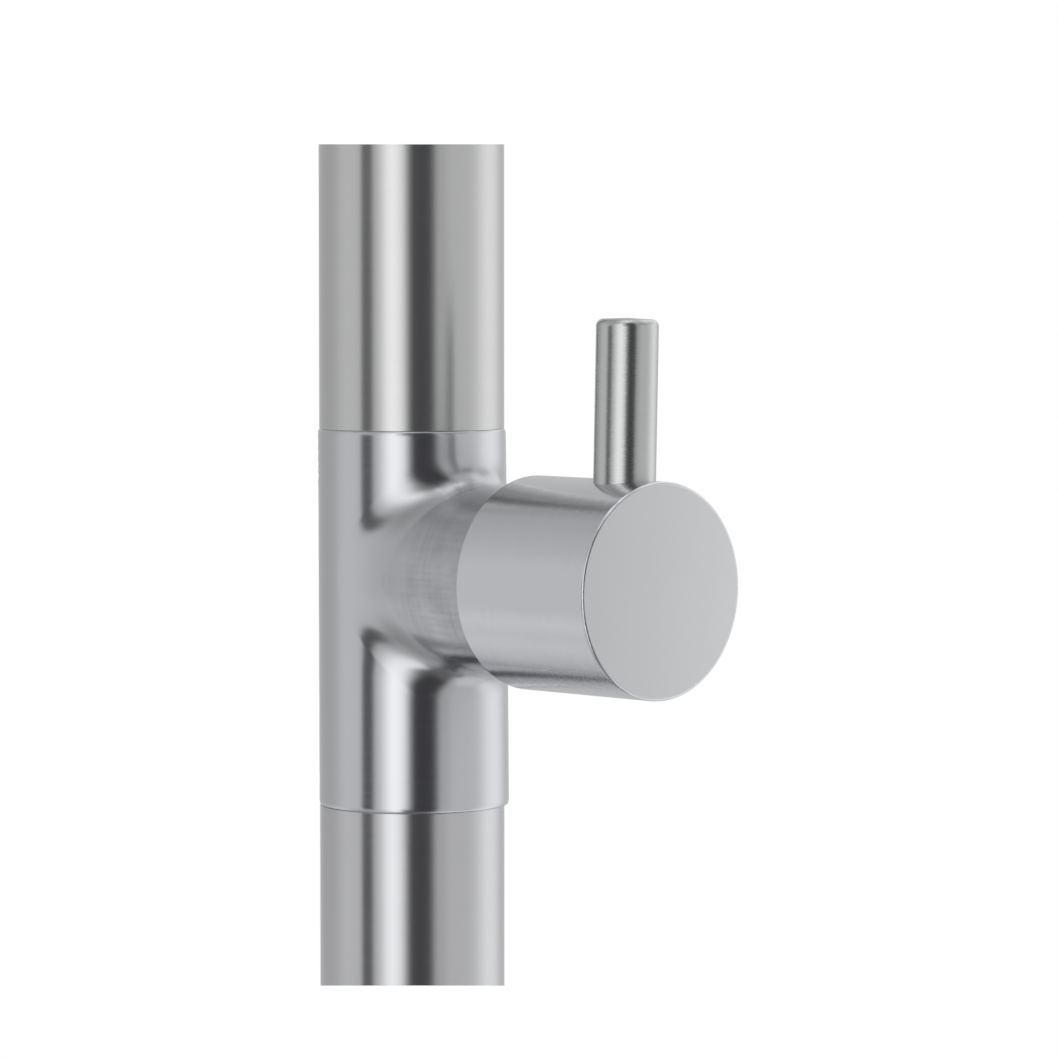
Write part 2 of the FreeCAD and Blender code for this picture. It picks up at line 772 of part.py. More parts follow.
def arm_socket():
    outer = arm_socket_od / 2
    bore = arm_od / 2 + slip_gap
    socket = turned([(arm_od / 2 - arm_wall, 0), (outer, 0), (outer, arm_mouth, arm_socket_edge),
                     (bore, arm_mouth), (bore, arm_start), (arm_od / 2 - arm_wall, arm_start)])
    near = arm_mouth - arm_seal_from_mouth - ring_groove_width / 2
    socket = socket.cut(pipe(bore + ring_groove_depth, arm_od / 2, near, near + ring_groove_width))
    socket.Placement = ARM
    socket = socket.cut(rod(tube_radius, arm_height - arm_socket_od, arm_height + arm_socket_od))
    return socket.cut(grub_hole(grub_diameter, arm_od / 2, outer, arm_grub_place))


def arm_tube():
    bend_start = arm_reach - arm_bend_radius
    spine_line = Part.LineSegment(Vector(0, -arm_start, arm_height), Vector(0, -bend_start, arm_height))
    turn_angle = math.radians(45)
    centre = Vector(0, -bend_start, arm_height - arm_bend_radius)
    middle = centre + Vector(0, -math.sin(turn_angle), math.cos(turn_angle)) * arm_bend_radius
    corner = Vector(0, -arm_reach, arm_height - arm_bend_radius)
    spine_arc = Part.Arc(Vector(0, -bend_start, arm_height), middle, corner)
    spine_drop = Part.LineSegment(corner, Vector(0, -arm_reach, arm_end_height))
    spine = Part.Wire([spine_line.toShape(), spine_arc.toShape(), spine_drop.toShape()])
    shapes = []
    for radius in (arm_od / 2, arm_od / 2 - arm_wall):
        circle = Part.Wire([Part.makeCircle(radius, Vector(0, -arm_start, arm_height), Vector(0, 1, 0))])
        shapes.append(spine.makePipeShell([circle], True, False))
    return shapes[0].cut(shapes[1])


def arm_seal():
    bore = arm_od / 2 + slip_gap
    return o_ring(arm_od / 2, bore + ring_groove_depth, arm_mouth - arm_seal_from_mouth, ARM)


def ball_stud():
    top = sleeve_bottom + stud_sleeve_length
    socket = arm_od / 2 + thread_gap
    floor = top - stud_thread_depth - stud_washer_thickness
    body = hexagon(stud_hex, sleeve_bottom, top)
    blank = rod(stud_neck_diameter / 2, ball_height, sleeve_bottom + cut_past)
    ball = Part.makeSphere(ball_radius, Vector(0, 0, ball_height))
    underside = ball_height - ball_radius
    below = rod(ball_radius, underside - cut_past, underside + ball_flat)
    body = body.fuse(blank.fuse(ball).cut(below))
    body = body.cut(rod(socket, floor, top + cut_past))
    body = body.cut(rod(stud_water_bore / 2, underside - cut_past, top))
    body.translate(Vector(0, -arm_reach, 0))
    return body


def stud_washer():
    top = sleeve_bottom + stud_sleeve_length - stud_thread_depth
    outer = arm_od / 2
    washer = turned([(stud_water_bore / 2, top - stud_washer_thickness),
                     (outer, top - stud_washer_thickness), (outer, top), (stud_water_bore / 2, top)])
    washer.translate(Vector(0, -arm_reach, 0))
    return washer


def ball_cavity(extra):
    """Space round the ball, wider than it by a clearance."""
    return Part.makeSphere(ball_radius + extra)


def head_shell():
    outer = head_diameter / 2
    inner = outer - head_wall
    cone = head_cone_diameter / 2
    neck = head_neck_od / 2
    bore = neck - head_neck_wall
    top = shell_neck_bottom + head_neck_height
    roof = head_top - head_wall
    shell = turned([(bore, top), (neck, top, neck_mouth_edge), (neck, shell_shoulder, neck_root),
                    (cone, head_top, cone_root), (outer, head_top, head_edge),
                    (outer, head_bottom, head_edge / 2), (inner, head_bottom), (inner, roof),
                    (cone - cone_inset, roof), (bore, shell_shoulder - head_wall)])
    post = rod(plate_post_diameter / 2, plate_top, roof + post_root, x=plate_screw_circle / 2)
    post = post.cut(rod(plate_screw_diameter / 2 + thread_gap, plate_top - cut_past,
                        roof - post_root, x=plate_screw_circle / 2))
    for item in around(post, plate_screw_count):
        shell = shell.fuse(item)
    shell = shell.fuse(neck_step())
    shell.Placement = HEAD
    return shell


def ring_points(rings, per_ring, step):
    """Places in rings round a middle one: each ring holds per_ring more than the last."""
    points = [(0.0, 0.0)]
    for ring in range(1, rings + 1):
        for number in range(per_ring * ring):
            angle = 2 * math.pi * number / (per_ring * ring) + math.pi / 6 * (ring % 2)
            points.append((ring * step * math.cos(angle), ring * step * math.sin(angle)))
    return points


def spray_plate():
    radius = head_diameter / 2 - head_wall - slip_gap
    plate = turned([(0, plate_bottom), (radius, plate_bottom, turned_edge), (radius, plate_top),
                    (0, plate_top)])
    cutters = []
    for x, y in ring_points(nozzle_rings, nozzles_per_ring, nozzle_ring_step):
        cutters.append(rod(nozzle_hole / 2, plate_bottom - cut_past, plate_top + cut_past, x=x, y=y))
    for x, y in screw_points():
        cutters.append(rod(plate_screw_diameter / 2 + slip_gap, plate_bottom - cut_past,
                           plate_top + cut_past, x=x, y=y))
    plate = plate.cut(Part.makeCompound(cutters))
    plate.Placement = HEAD
    return plate


def screw_points():
    points = []
    for number in range(plate_screw_count):
        angle = 2 * math.pi * number / plate_screw_count
        points.append((plate_screw_circle / 2 * math.cos(angle),
                       plate_screw_circle / 2 * math.sin(angle)))
    return points


def spray_nozzles():
    outer = nozzle_hole / 2 - nozzle_gap
    tip = plate_bottom - nozzle_stand
    nozzle = turned([(nozzle_bore / 2, tip), (outer * nozzle_taper, tip, fine_edge),
                     (outer, plate_bottom),
                     (outer, plate_top), (outer + nozzle_flange, plate_top),
                     (outer + nozzle_flange, plate_top + nozzle_flange),
                     (nozzle_bore / 2, plate_top + nozzle_flange)])
    nozzles = []
    for x, y in ring_points(nozzle_rings, nozzles_per_ring, nozzle_ring_step):
        copy = nozzle.copy()
        copy.Placement = HEAD.multiply(Placement(Vector(x, y, 0), ON_AXIS))
        nozzles.append(copy)
    return nozzles


def plate_screws():
    shaft = plate_screw_diameter / 2
    head = plate_screw_head / 2
    under = plate_bottom
    low = under - plate_screw_head_height
    tip = plate_top + plate_screw_reach
    screw = turned([(0, low), (head, low, plate_screw_head_edge), (head, under), (shaft, under),
                    (shaft, tip, fine_edge), (0, tip)])
    key = hexagon(plate_screw_key, low - cut_past, low + plate_screw_key_depth)
    screw = screw.cut(key)
    screws = []
    for x, y in screw_points():
        copy = screw.copy()
        copy.Placement = HEAD.multiply(Placement(Vector(x, y, 0), ON_AXIS))
        screws.append(copy)
    return screws


def ball_socket():
    """Lower half of the ball's seat, a plastic ring standing in the head's neck."""
    outer = head_neck_od / 2 - head_neck_wall - slip_gap
    ring = pipe(outer, socket_bore / 2, socket_floor, socket_floor + socket_height)
    ring = ring.cut(ball_cavity(ball_fit))
    ring.Placement = HEAD
    return ring


def neck_step():
    """Ledge in the head's neck that carries the seat."""
    outer = head_neck_od / 2 - head_neck_wall / 2
    return pipe(outer, socket_bore / 2, socket_floor - ledge_height, socket_floor)


def ball_seal():
    outer = head_neck_od / 2 - head_neck_wall - slip_gap
    low = socket_floor + socket_height
    ring = pipe(outer, ball_seal_bore / 2, low, low + ball_seal_height)
    ring = ring.cut(ball_cavity(ball_fit))
    ring.Placement = HEAD
    return ring


def collar_nut():
    outer = collar_nut_od / 2
    neck = head_neck_od / 2 + thread_gap
    shell_top = shell_neck_bottom + head_neck_height
    top = shell_top + collar_nut_wall
    bottom = top - collar_nut_height
    mouth = collar_nut_mouth / 2
    nut = turned([(neck, bottom), (outer, bottom, turned_edge), (outer, top, collar_nut_top_edge),
                  (mouth, top), (mouth, shell_top + face_gap), (neck, shell_top + face_gap)])
    grip = rod(collar_nut_grip, bottom - cut_past, top - collar_nut_top_edge - collar_nut_grip, x=outer)
    nut = nut.cut(Part.makeCompound(around(grip, collar_nut_grips)))
    nut = nut.cut(ball_cavity(ball_fit))
    nut.Placement = HEAD
    return nut


def head_screen():
    radius = head_neck_od / 2 - head_neck_wall - slip_gap
    top = shell_neck_bottom - screen_below_neck
    disc = rod(radius, top - screen_thickness, top)
    cutters = []
    for x, y in ring_points(screen_rings, screen_per_ring, screen_ring_step):
        cutters.append(rod(screen_hole / 2, top - screen_thickness - cut_past, top + cut_past,
                           x=x, y=y))
    disc = disc.cut(Part.makeCompound(cutters))
    disc.Placement = HEAD
    return disc


def seals_at(heights):
    return [o_ring(ring_floor, tube_inner, height) for height in heights]


def grubs_at(places, skin):
    return [grub_screw(grub_diameter, grub_length, skin, place) for place in places]


pieces = {
    "base_plate": base_plate(),
    "base_spigot": base_spigot(),
    "base_collar": base_collar(),
    "base_spigot_seals": seals_at(foot_ring_heights),
    "base_grub_screws": grubs_at(foot_grub_places, tube_radius),
    "lower_tube": lower_tube(),
    "drain_washer": drain_washer(),
    "drain_screw": drain_screw(),
    "inlet_boss": inlet_boss(),
    "inlet_washer": inlet_washer(),
    "inlet_nipple": inlet_nipple(),
    "inlet_strainer": inlet_strainer(),
    "tee_body": tee_body(),
    "tee_spigot_seals": seals_at(tee_ring_heights),
    "tee_grub_screws": grubs_at(tee_grub_places, tube_radius),
    "cartridge_body": cartridge_body(),
    "cartridge_seat_seal": seat_seal(),
    "fixed_ceramic_disc": ceramic_disc(seal_outer, fixed_disc_outer, 0.0),
    "turning_ceramic_disc": ceramic_disc(turning_disc_inner, turning_disc_outer, 90.0),
    "spindle": spindle(),
    "spindle_seals": spindle_seals(),
    "spindle_clip": spindle_clip(),
    "knob_insert": knob_insert(),
    "knob_body": knob_body(),
    "knob_grub_screw": grub_screw(grub_diameter, knob_radius - grub_below_skin - knob_grub_tip,
                                  knob_radius, knob_grub_place),
    "lever_pin": lever_pin(),
    "upper_tube": upper_tube(),
    "top_cap": top_cap(),
    "top_cap_seal": seals_at([cap_ring_height]),
    "top_cap_screw": grubs_at([cap_grub_place], tube_radius),
    "arm_socket": arm_socket(),
    "arm_tube": arm_tube(),
    "arm_seal": arm_seal(),
    "arm_grub_screw": grub_screw(grub_diameter, arm_socket_od / 2 - arm_od / 2 - grub_below_skin,
                                 arm_socket_od / 2, arm_grub_place),
    "ball_stud": ball_stud(),
    "stud_washer": stud_washer(),
    "head_shell": head_shell(),
    "ball_socket": ball_socket(),
    "ball_seal": ball_seal(),
    "collar_nut": collar_nut(),
    "head_screen": head_screen(),
    "spray_plate": spray_plate(),
    "spray_nozzles": spray_nozzles(),
    "plate_screws": plate_screws(),
}

for name, shape in pieces.items():
    if isinstance(shape, list):
        shape = Part.makeCompound(shape)
    box = shape.BoundBox
    print("%-22s solids %3d valid %s volume %10.1f z %7.1f to %7.1f" % (
        name, len(shape.Solids), shape.isValid(), shape.Volume, box.ZMin, box.ZMax))
    shape.exportStep("parts/" + name + ".step")
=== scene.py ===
# %% [markdown]
# A garden shower column in brushed stainless steel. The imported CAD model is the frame: it fixes every
# size and place. This script gives each piece its finish and swaps the pieces that the picture shows
# close up for smoother meshes of the same size. Lengths are in metres and +Z is up.

# %% Load the frame
import bpy
import bmesh
import json
import math
from mathutils import Matrix, Vector


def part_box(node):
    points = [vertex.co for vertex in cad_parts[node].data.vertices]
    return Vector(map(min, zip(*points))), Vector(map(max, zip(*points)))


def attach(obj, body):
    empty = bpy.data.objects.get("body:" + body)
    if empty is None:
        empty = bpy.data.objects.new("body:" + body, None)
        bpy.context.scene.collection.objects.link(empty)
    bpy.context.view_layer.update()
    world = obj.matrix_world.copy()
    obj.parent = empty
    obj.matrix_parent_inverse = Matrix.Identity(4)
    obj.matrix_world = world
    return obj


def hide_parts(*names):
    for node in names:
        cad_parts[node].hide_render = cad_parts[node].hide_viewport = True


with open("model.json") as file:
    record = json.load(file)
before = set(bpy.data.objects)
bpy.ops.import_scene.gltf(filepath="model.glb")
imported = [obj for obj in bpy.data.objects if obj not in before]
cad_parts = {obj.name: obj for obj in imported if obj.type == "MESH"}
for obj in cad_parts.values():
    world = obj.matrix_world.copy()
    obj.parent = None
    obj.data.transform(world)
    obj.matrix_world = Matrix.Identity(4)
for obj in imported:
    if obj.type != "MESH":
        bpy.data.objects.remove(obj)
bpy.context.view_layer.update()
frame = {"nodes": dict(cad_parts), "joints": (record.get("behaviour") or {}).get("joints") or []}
nodes = frame["nodes"]

# %% [markdown]
# The picture is a close view of the valve, so the camera stands a little over a metre away with a long
# lens. Its place and lens come from fitting the outlines of the tubes, the knob and the lever to the
# sizes of the real pieces. A camera looks down its own -Z axis, so the direction becomes a rotation
# with to_track_quat. The photograph is square, so one focal length in pixels gives the lens.

# %% Camera at the photograph's place
MM = 0.001
valve = next(joint for joint in frame["joints"] if joint["name"] == "valve_turn")
valve_height = valve["pos_m"][2]
camera_azimuth = math.radians(-41.87)
camera_distance = 1.175
camera_above_valve = 0.0776
camera_yaw = math.radians(-1.31)
camera_pitch = math.radians(3.28)
focal_pixels = 5128.7
picture_pixels = 1058
sensor_width = 36.0
scene = bpy.context.scene


def added(name, data):
    """A new object of some data, linked into the scene."""
    made = bpy.data.objects.new(name, data)
    scene.collection.objects.link(made)
    return made


camera_data = bpy.data.cameras.new("photo_camera")
camera_data.sensor_width = sensor_width
camera_data.lens = focal_pixels / picture_pixels * sensor_width
camera = added("photo_camera", camera_data)
camera.location = (math.sin(camera_azimuth) * camera_distance,
                   -math.cos(camera_azimuth) * camera_distance,
                   valve_height + camera_above_valve)
heading = camera_azimuth + camera_yaw
look = Vector((-math.sin(heading) * math.cos(camera_pitch),
               math.cos(heading) * math.cos(camera_pitch),
               -math.sin(camera_pitch)))
camera.rotation_mode = "QUATERNION"
camera.rotation_quaternion = look.to_track_quat("-Z", "Y")
scene.camera = camera
scene.view_settings.view_transform = "Standard"
print("camera lens", round(camera_data.lens, 1), "mm, looking along", tuple(round(v, 3) for v in look))

# %% [markdown]
# Node graphs read best as arithmetic. Value wraps one output socket, and its operators add Math nodes,
# so 1 - mask * 0.5 builds the two nodes that it says.

# %% Sockets as numbers
class Value:
    """An output socket on which arithmetic adds Math nodes."""

    def __init__(self, graph, socket):
        self.graph = graph
        self.socket = socket

    def math(self, operation, first, second=None):
        inputs = {0: first} if second is None else {0: first, 1: second}
        return self.graph.node("ShaderNodeMath", {"operation": operation}, inputs)

    def __add__(self, other):
        return self.math("ADD", self, other)

    def __radd__(self, other):
        return self.math("ADD", other, self)

    def __sub__(self, other):
        return self.math("SUBTRACT", self, other)

    def __rsub__(self, other):
        return self.math("SUBTRACT", other, self)

    def __mul__(self, other):
        return self.math("MULTIPLY", self, other)

    def __rmul__(self, other):
        return self.math("MULTIPLY", other, self)

    def step(self, low, high):
        """0 below low, 1 above high and a smooth ramp between."""
        settings = {"interpolation_type": "SMOOTHSTEP"}
        return self.graph.node("ShaderNodeMapRange", settings, {0: self, 1: low, 2: high, 3: 0.0, 4: 1.0})

    def swing(self, amount):
        """A noise of 0 to 1 as a swing round zero, by half the amount each way."""
        return (self - 0.5) * amount


print("sockets add, subtract and multiply")

# %% [markdown]
# Graph holds a node tree and adds any other node: its type, its settings, which are set first, and the
# values or links of its inputs. The few nodes that come up again and again get a short name below it.

# %% Node trees
class Graph:
    """A node tree to which nodes are added by type, settings and inputs."""

    def __init__(self, tree):
        self.tree = tree
        tree.nodes.clear()

    def node(self, kind, settings=None, inputs=None, out=0):
        made = self.tree.nodes.new(kind)
        for name, value in (settings or {}).items():
            setattr(made, name, value)
        for name, value in (inputs or {}).items():
            socket = made.inputs[name]
            if isinstance(value, Value):
                self.tree.links.new(value.socket, socket)
            else:
                socket.default_value = value
        return None if out is None else Value(self, made.outputs[out])


def finish_graph(name):
    """A new material and its graph."""
    material = bpy.data.materials.new(name)
    material.use_nodes = True
    return material, Graph(material.node_tree)


def vector(graph, operation, first, second=None, out=0):
    """A Vector Math node of one or two inputs."""
    inputs = {0: first} if second is None else {0: first, 1: second}
    return graph.node("ShaderNodeVectorMath", {"operation": operation}, inputs, out)


def part(graph, place, axis):
    """One coordinate of a place or direction."""
    return graph.node("ShaderNodeSeparateXYZ", None, {0: place}, axis)


print("graphs take any node")

# %% [markdown]
# Brushed steel shows its surroundings, so the studio matters more than the colour of the metal. The
# photograph's tubes mirror a pale room with tall dark uprights and bright windows between them. Each of
# these is a panel here. It spans some azimuths and some elevations, with soft edges and a grey level,
# and lies over the ones before it. The tubes look out level, but the knob and the fillets look up and
# down as well, so some panels hang high or lie low.

# %% Studio panels
panels = [
    # azimuth from and to, softness, elevation from and to, level; azimuth 0 is in front of the shower
    (-205, -152, 30, -12, 80, 0.50),
    (-142, -107, 20, -44, 70, 0.72),
    (-172, -124, 20, -42, -18, 0.78),
    (-134, -94, 12, 28, 66, 0.46),
    (-140, -104, 14, -68, -30, 0.42),
    (-107, -91, 5, -22, 12, 0.035),
    (-77, -40, 24, -50, 42, 1.44),
    (-85, -22, 20, 42, 76, 0.84),
    (-58, -40, 16, 10, 52, 0.30),
    (-56, -40, 8, -58, -17, 0.12),
    (-46, -10, 16, -50, 56, 0.055),
    (-4, 46, 16, -36, 34, 0.68),
    (-8, 4, 8, -36, 34, 0.57),
    (-6, 46, 16, 28, 42, 0.22),
    (-6, 64, 16, 42, 72, 0.70),
    (50, 92, 36, -46, 60, 1.12),
    (44, 86, 20, 24, 44, 0.66),
    (86, 125, 12, 14, 60, 1.10),
    (-80, -8, 12, -95, -51, 0.20),
    (4, 112, 16, -76, -44, 0.92),
]
print("studio has", len(panels), "panels")

# %% [markdown]
# A world shader works from a ray's direction, so that is turned into an azimuth and an elevation in
# degrees. Walls, ceiling and ground come first, and then each panel is a mask on those two that mixes
# its own level in. The room's dark parts are a trace blue. The camera itself sees plain white.

# %% Studio round the object
rear_wall = 0.62
ceiling = 0.70
ceiling_edge = (50, 75)
ground_level = 0.58
ground_edge = (36, 50)
skylight = 1.5
skylight_edge = (70, 82)
panel_end_softness = 12
shadow_blue = 0.005
in_degrees = 180 / math.pi


def between(value, low, high, softness):
    """1 between low and high, 0 outside, with soft edges."""
    return value.step(low - softness / 2, low + softness / 2) * (
        1 - value.step(high - softness / 2, high + softness / 2))


world = bpy.data.worlds.new("studio")
scene.world = world
world.use_nodes = True
sky = Graph(world.node_tree)
direction = sky.node("ShaderNodeTexCoord", out="Generated")
east = part(sky, direction, "X")
rise = part(sky, direction, "Z")
azimuth = east.math("ARCTAN2", east, part(sky, direction, "Y") * -1.0) * in_degrees
elevation = rise.math("ARCSINE", rise) * in_degrees
level = elevation.step(*ceiling_edge) * (ceiling - rear_wall) + rear_wall
level = level + (elevation * -1.0).step(*ground_edge) * (ground_level - level)
for low, high, softness, foot, top, panel_level in panels:
    mask = between(azimuth, low, high, softness)
    if low < -180:
        # a panel behind the object goes on where the azimuth jumps from -180 to 180
        mask = mask + between(azimuth, low + 360, high + 360, softness)
    mask = mask * between(elevation, foot, top, panel_end_softness)
    level = level + mask * (panel_level - level)
level = level + elevation.step(*skylight_edge) * (skylight - level)
seen = sky.node("ShaderNodeLightPath", out="Is Camera Ray")
level = level + seen * (1 - level)
blue = level + (1 - level) * shadow_blue
shown = sky.node("ShaderNodeCombineColor", None, {0: level, 1: level, 2: blue})
light = sky.node("ShaderNodeBackground", None, {"Color": shown, "Strength": 1.0})
sky.node("ShaderNodeOutputWorld", None, {"Surface": light}, None)
print("world shader has", len(sky.tree.nodes), "nodes")

# %% [markdown]
# The shower stands on a pale floor. Close to the base the floor is an ordinary matt surface, so it
# takes the shower's soft shadow, with a faint glow that only the camera sees to lift it towards white.
# Further out it fades to the plain white that the camera sees behind the shower, so no edge shows. The
# steel sees the floor in its own way. Close by it is a darker grey, which keeps the lower reflections
# deep, and further out it is open, so that they show the studio's walls to their foot.

# %% Pale floor
WHITE = (1.0, 1.0, 1.0, 1.0)
floor_size = 7.0
floor_drop = 0.5 * MM
floor_fade = (1.3, 3.0)
mirrored_fade = (0.22, 0.34)
mirrored_tone = 0.24
floor_lift = 0.22
floor_grain = 220.0
floor_tones = ((0.92, 0.92, 0.91, 1.0), (0.97, 0.97, 0.96, 1.0))
floor_mesh = bpy.data.meshes.new("floor")
half = floor_size / 2
floor_mesh.from_pydata([(-half, -half, 0), (half, -half, 0), (half, half, 0), (-half, half, 0)], [],
                       [(0, 1, 2, 3)])
floor = added("floor", floor_mesh)
floor.location.z = -floor_drop

floor_material, ground = finish_graph("pale_floor")
place = ground.node("ShaderNodeTexCoord", out="Object")
reach = vector(ground, "LENGTH", place, None, "Value")
seen = ground.node("ShaderNodeLightPath", out="Is Camera Ray")
far = seen * reach.step(*floor_fade) + (1 - seen) * reach.step(*mirrored_fade)
grain = ground.node("ShaderNodeTexNoise", None, {"Vector": place, "Scale": floor_grain, "Detail": 3.0})
tone = ground.node("ShaderNodeMix", {"data_type": "RGBA"},
                   {0: grain, 6: floor_tones[0], 7: floor_tones[1]}, 2)
tone = ground.node("ShaderNodeMix", {"data_type": "RGBA"},
                   {0: seen, 6: (mirrored_tone, mirrored_tone, mirrored_tone, 1.0), 7: tone}, 2)
matt = ground.node("ShaderNodeBsdfDiffuse", None, {"Color": tone})
glow = ground.node("ShaderNodeEmission", None, {"Color": WHITE, "Strength": seen * floor_lift})
matt = ground.node("ShaderNodeAddShader", None, {0: matt, 1: glow})
open_floor = ground.node("ShaderNodeBsdfTransparent")
white = ground.node("ShaderNodeEmission", None, {"Color": WHITE, "Strength": 1.0})
distant = ground.node("ShaderNodeMixShader", None, {0: seen, 1: open_floor, 2: white})
blend_floor = ground.node("ShaderNodeMixShader", None, {0: far, 1: matt, 2: distant})
ground.node("ShaderNodeOutputMaterial", None, {"Surface": blend_floor}, None)
floor_mesh.materials.append(floor_material)
print("floor", floor_size, "m wide")

# %% [markdown]
# A small lamp overhead gives the polished corners their glints. It is a disc and not a point, so the
# glints keep a soft edge.

# %% Overhead lamp
lamp_place = Vector((-1.2, -0.8, 3.6))
lamp_target = Vector((0, 0, 0.6))
lamp_data = bpy.data.lights.new("overhead_lamp", "AREA")
lamp_data.shape = "DISK"
lamp_data.size = 0.3
lamp_data.energy = 0.4
lamp = added("overhead_lamp", lamp_data)
lamp.location = lamp_place
lamp.rotation_mode = "QUATERNION"
lamp.rotation_quaternion = (lamp_target - lamp_place).to_track_quat("-Z", "Y")
print("lamp", round(lamp_data.energy, 2), "W")

# %% [markdown]
# The photograph is a cropped picture on a white page: level cuts above and below end the tube. Two
# small white cards close in front of the camera make the same page. A camera shows nothing nearer than
# its clip distance, here a tenth of a metre, so the cards stand a little past it. They are millimetres
# high, so they change no light on the shower, and the tube goes on behind them, whole.

# %% White page above and below the picture
page_distance = 0.15
page_top_line = 144.3
page_bottom_line = 985.6
page_margin = 30
page_end = picture_pixels + page_margin
page_material, page = finish_graph("white_page")
paper = page.node("ShaderNodeEmission", None, {"Color": WHITE, "Strength": 1.0})
page.node("ShaderNodeOutputMaterial", None, {"Surface": paper}, None)
bpy.context.view_layer.update()


def page_card(name, first_line, last_line):
    """A card that covers the picture's lines from first to last, counted in its pixels from the top."""
    corners = []
    for column, line in ((-page_margin, first_line), (page_end, first_line),
                         (page_end, last_line), (-page_margin, last_line)):
        right = (column - picture_pixels / 2) / focal_pixels * page_distance
        up = (picture_pixels / 2 - line) / focal_pixels * page_distance
        corners.append(camera.matrix_world @ Vector((right, up, -page_distance)))
    mesh = bpy.data.meshes.new(name)
    mesh.from_pydata(corners, [], [(0, 1, 2, 3)])
    mesh.materials.append(page_material)
    card = added(name, mesh)


page_card("page_above", -page_margin, page_top_line)
page_card("page_below", page_bottom_line, page_end)
print("page leaves", page_bottom_line - page_top_line, "pixels of picture")

# %% [markdown]
# Almost every piece here came off a lathe or out of a tube mill, so its shape is half a section spun
# round an axis. A section is a list of corners, each with its radius and its distance along the axis,
# and with a rounding where the real edge has one. Extra points close to both ends of a long stretch
# keep its shading straight right up to the edge.

# %% Half sections
support = 0.35 * MM


def rounded(corners, steps=6):
    """Points through (radius, along, rounding) corners, with arcs and support points."""
    points = []
    for index, corner in enumerate(corners):
        here = Vector(corner[:2])
        rounding = corner[2] if len(corner) > 2 else 0.0
        if rounding == 0.0:
            points.append(here)
            continue
        back = (Vector(corners[index - 1][:2]) - here).normalized()
        ahead = (Vector(corners[(index + 1) % len(corners)][:2]) - here).normalized()
        half_angle = back.angle(ahead) / 2
        reach = rounding / math.tan(half_angle)
        centre = here + (back + ahead).normalized() * rounding / math.sin(half_angle)
        first = here + back * reach - centre
        last = here + ahead * reach - centre
        for step in range(steps + 1):
            points.append(centre + first.slerp(last, step / steps) * rounding)
    held = []
    for index, point in enumerate(points):
        held.append(point)
        following = points[(index + 1) % len(points)]
        gap = (following - point).length
        if gap > 4 * support and point.x > 0 and following.x > 0:
            held.append(point.lerp(following, support / gap))
            held.append(following.lerp(point, support / gap))
    return held


print("corners can be rounded")

# %% [markdown]
# The section is then spun as a lathe would: each of its points becomes a ring, and rings are joined by
# faces. A point on the axis stays one vertex, so a flat end closes without a hole.

# %% Spinning
on_axis = 1e-7


def spin(points, segments):
    """A mesh spun from half a section; points on the axis become one vertex."""
    made = bmesh.new()
    rings = []
    for point in points:
        if point.x < on_axis:
            rings.append([made.verts.new((0, 0, point.y))])
            continue
        ring = []
        for number in range(segments):
            angle = 2 * math.pi * number / segments
            ring.append(made.verts.new((point.x * math.cos(angle), point.x * math.sin(angle), point.y)))
        rings.append(ring)
    for index, ring in enumerate(rings):
        following = rings[(index + 1) % len(rings)]
        if len(ring) == 1 and len(following) == 1:
            continue
        for number in range(segments):
            after = (number + 1) % segments
            if len(ring) == 1:
                made.faces.new((ring[0], following[number], following[after]))
            elif len(following) == 1:
                made.faces.new((ring[number], following[0], ring[after]))
            else:
                made.faces.new((ring[number], following[number], following[after], ring[after]))
    bmesh.ops.recalc_face_normals(made, faces=made.faces)
    return made


print("sections can be spun")

# %% [markdown]
# A spun mesh becomes a piece of the shower when it is shaded smooth, has its finish, and is told which
# body it rides on, and the CAD node that it stands for is hidden. Where a piece turns round another axis
# than the upright one, its object is turned and not its mesh. The brushing, which Blender lays round
# local Z, then follows the lathe too.

# %% Pieces
FORWARD = Matrix.Translation((0, 0, valve_height)) @ Matrix.Rotation(math.radians(90), 4, "X")
UPRIGHT = Matrix.Identity(4)
crease = math.radians(32)


def as_mesh(name, made):
    """Turns a bmesh into a mesh."""
    mesh = bpy.data.meshes.new(name)
    made.to_mesh(mesh)
    made.free()
    return mesh


def smooth(mesh):
    """Shades a mesh smooth and keeps its real edges sharp."""
    mesh.shade_smooth()
    mesh.set_sharp_from_angle(angle=crease)


def settle(name, made, body, finish, node, place=UPRIGHT):
    """Turns a bmesh into a smooth-shaded piece that rides on a body, and hides the CAD node it stands
    for.
    """
    mesh = as_mesh(name, made)
    smooth(mesh)
    mesh.materials.append(finish)
    piece = added(name, mesh)
    piece.matrix_world = place
    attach(piece, body)
    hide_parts(node)
    print(name, len(mesh.polygons), "faces")
    return piece


print("pieces can be set on their bodies")

# %% [markdown]
# Brushed steel is a mirror scratched by thousands of fine parallel lines, and noise can draw them:
# stretched along one direction, its patches become streaks. The same noise unstretched gives grain and
# slow clouds. All of it is laid in the piece's own axes, so it moves with the piece.

# %% Marks
def object_place(graph):
    """The point being shaded, in the piece's own axes."""
    return graph.node("ShaderNodeTexCoord", out="Object")


def noise(graph, place, detail=3.0):
    """Noise of 0 to 1 at a place, with about one patch per unit."""
    return graph.node("ShaderNodeTexNoise", None, {"Vector": place, "Scale": 1.0, "Detail": detail})


def streaks(graph, stretch, detail=3.0):
    """Noise drawn out along some axes: small numbers in stretch give long marks that way."""
    return noise(graph, vector(graph, "MULTIPLY", object_place(graph), stretch), detail)


def specks(graph, count, detail=3.0):
    """Noise that is alike in every direction, with a count of patches per metre."""
    return streaks(graph, (count, count, count), detail)


print("streaks and specks ready")

# %% [markdown]
# No tube is perfectly round, and a flat spot too slight to measure moves its reflections by degrees. A
# bump would need a slope worked out over the whole side, so the normal on which the light is worked out
# is leaned directly, all over or on one side.

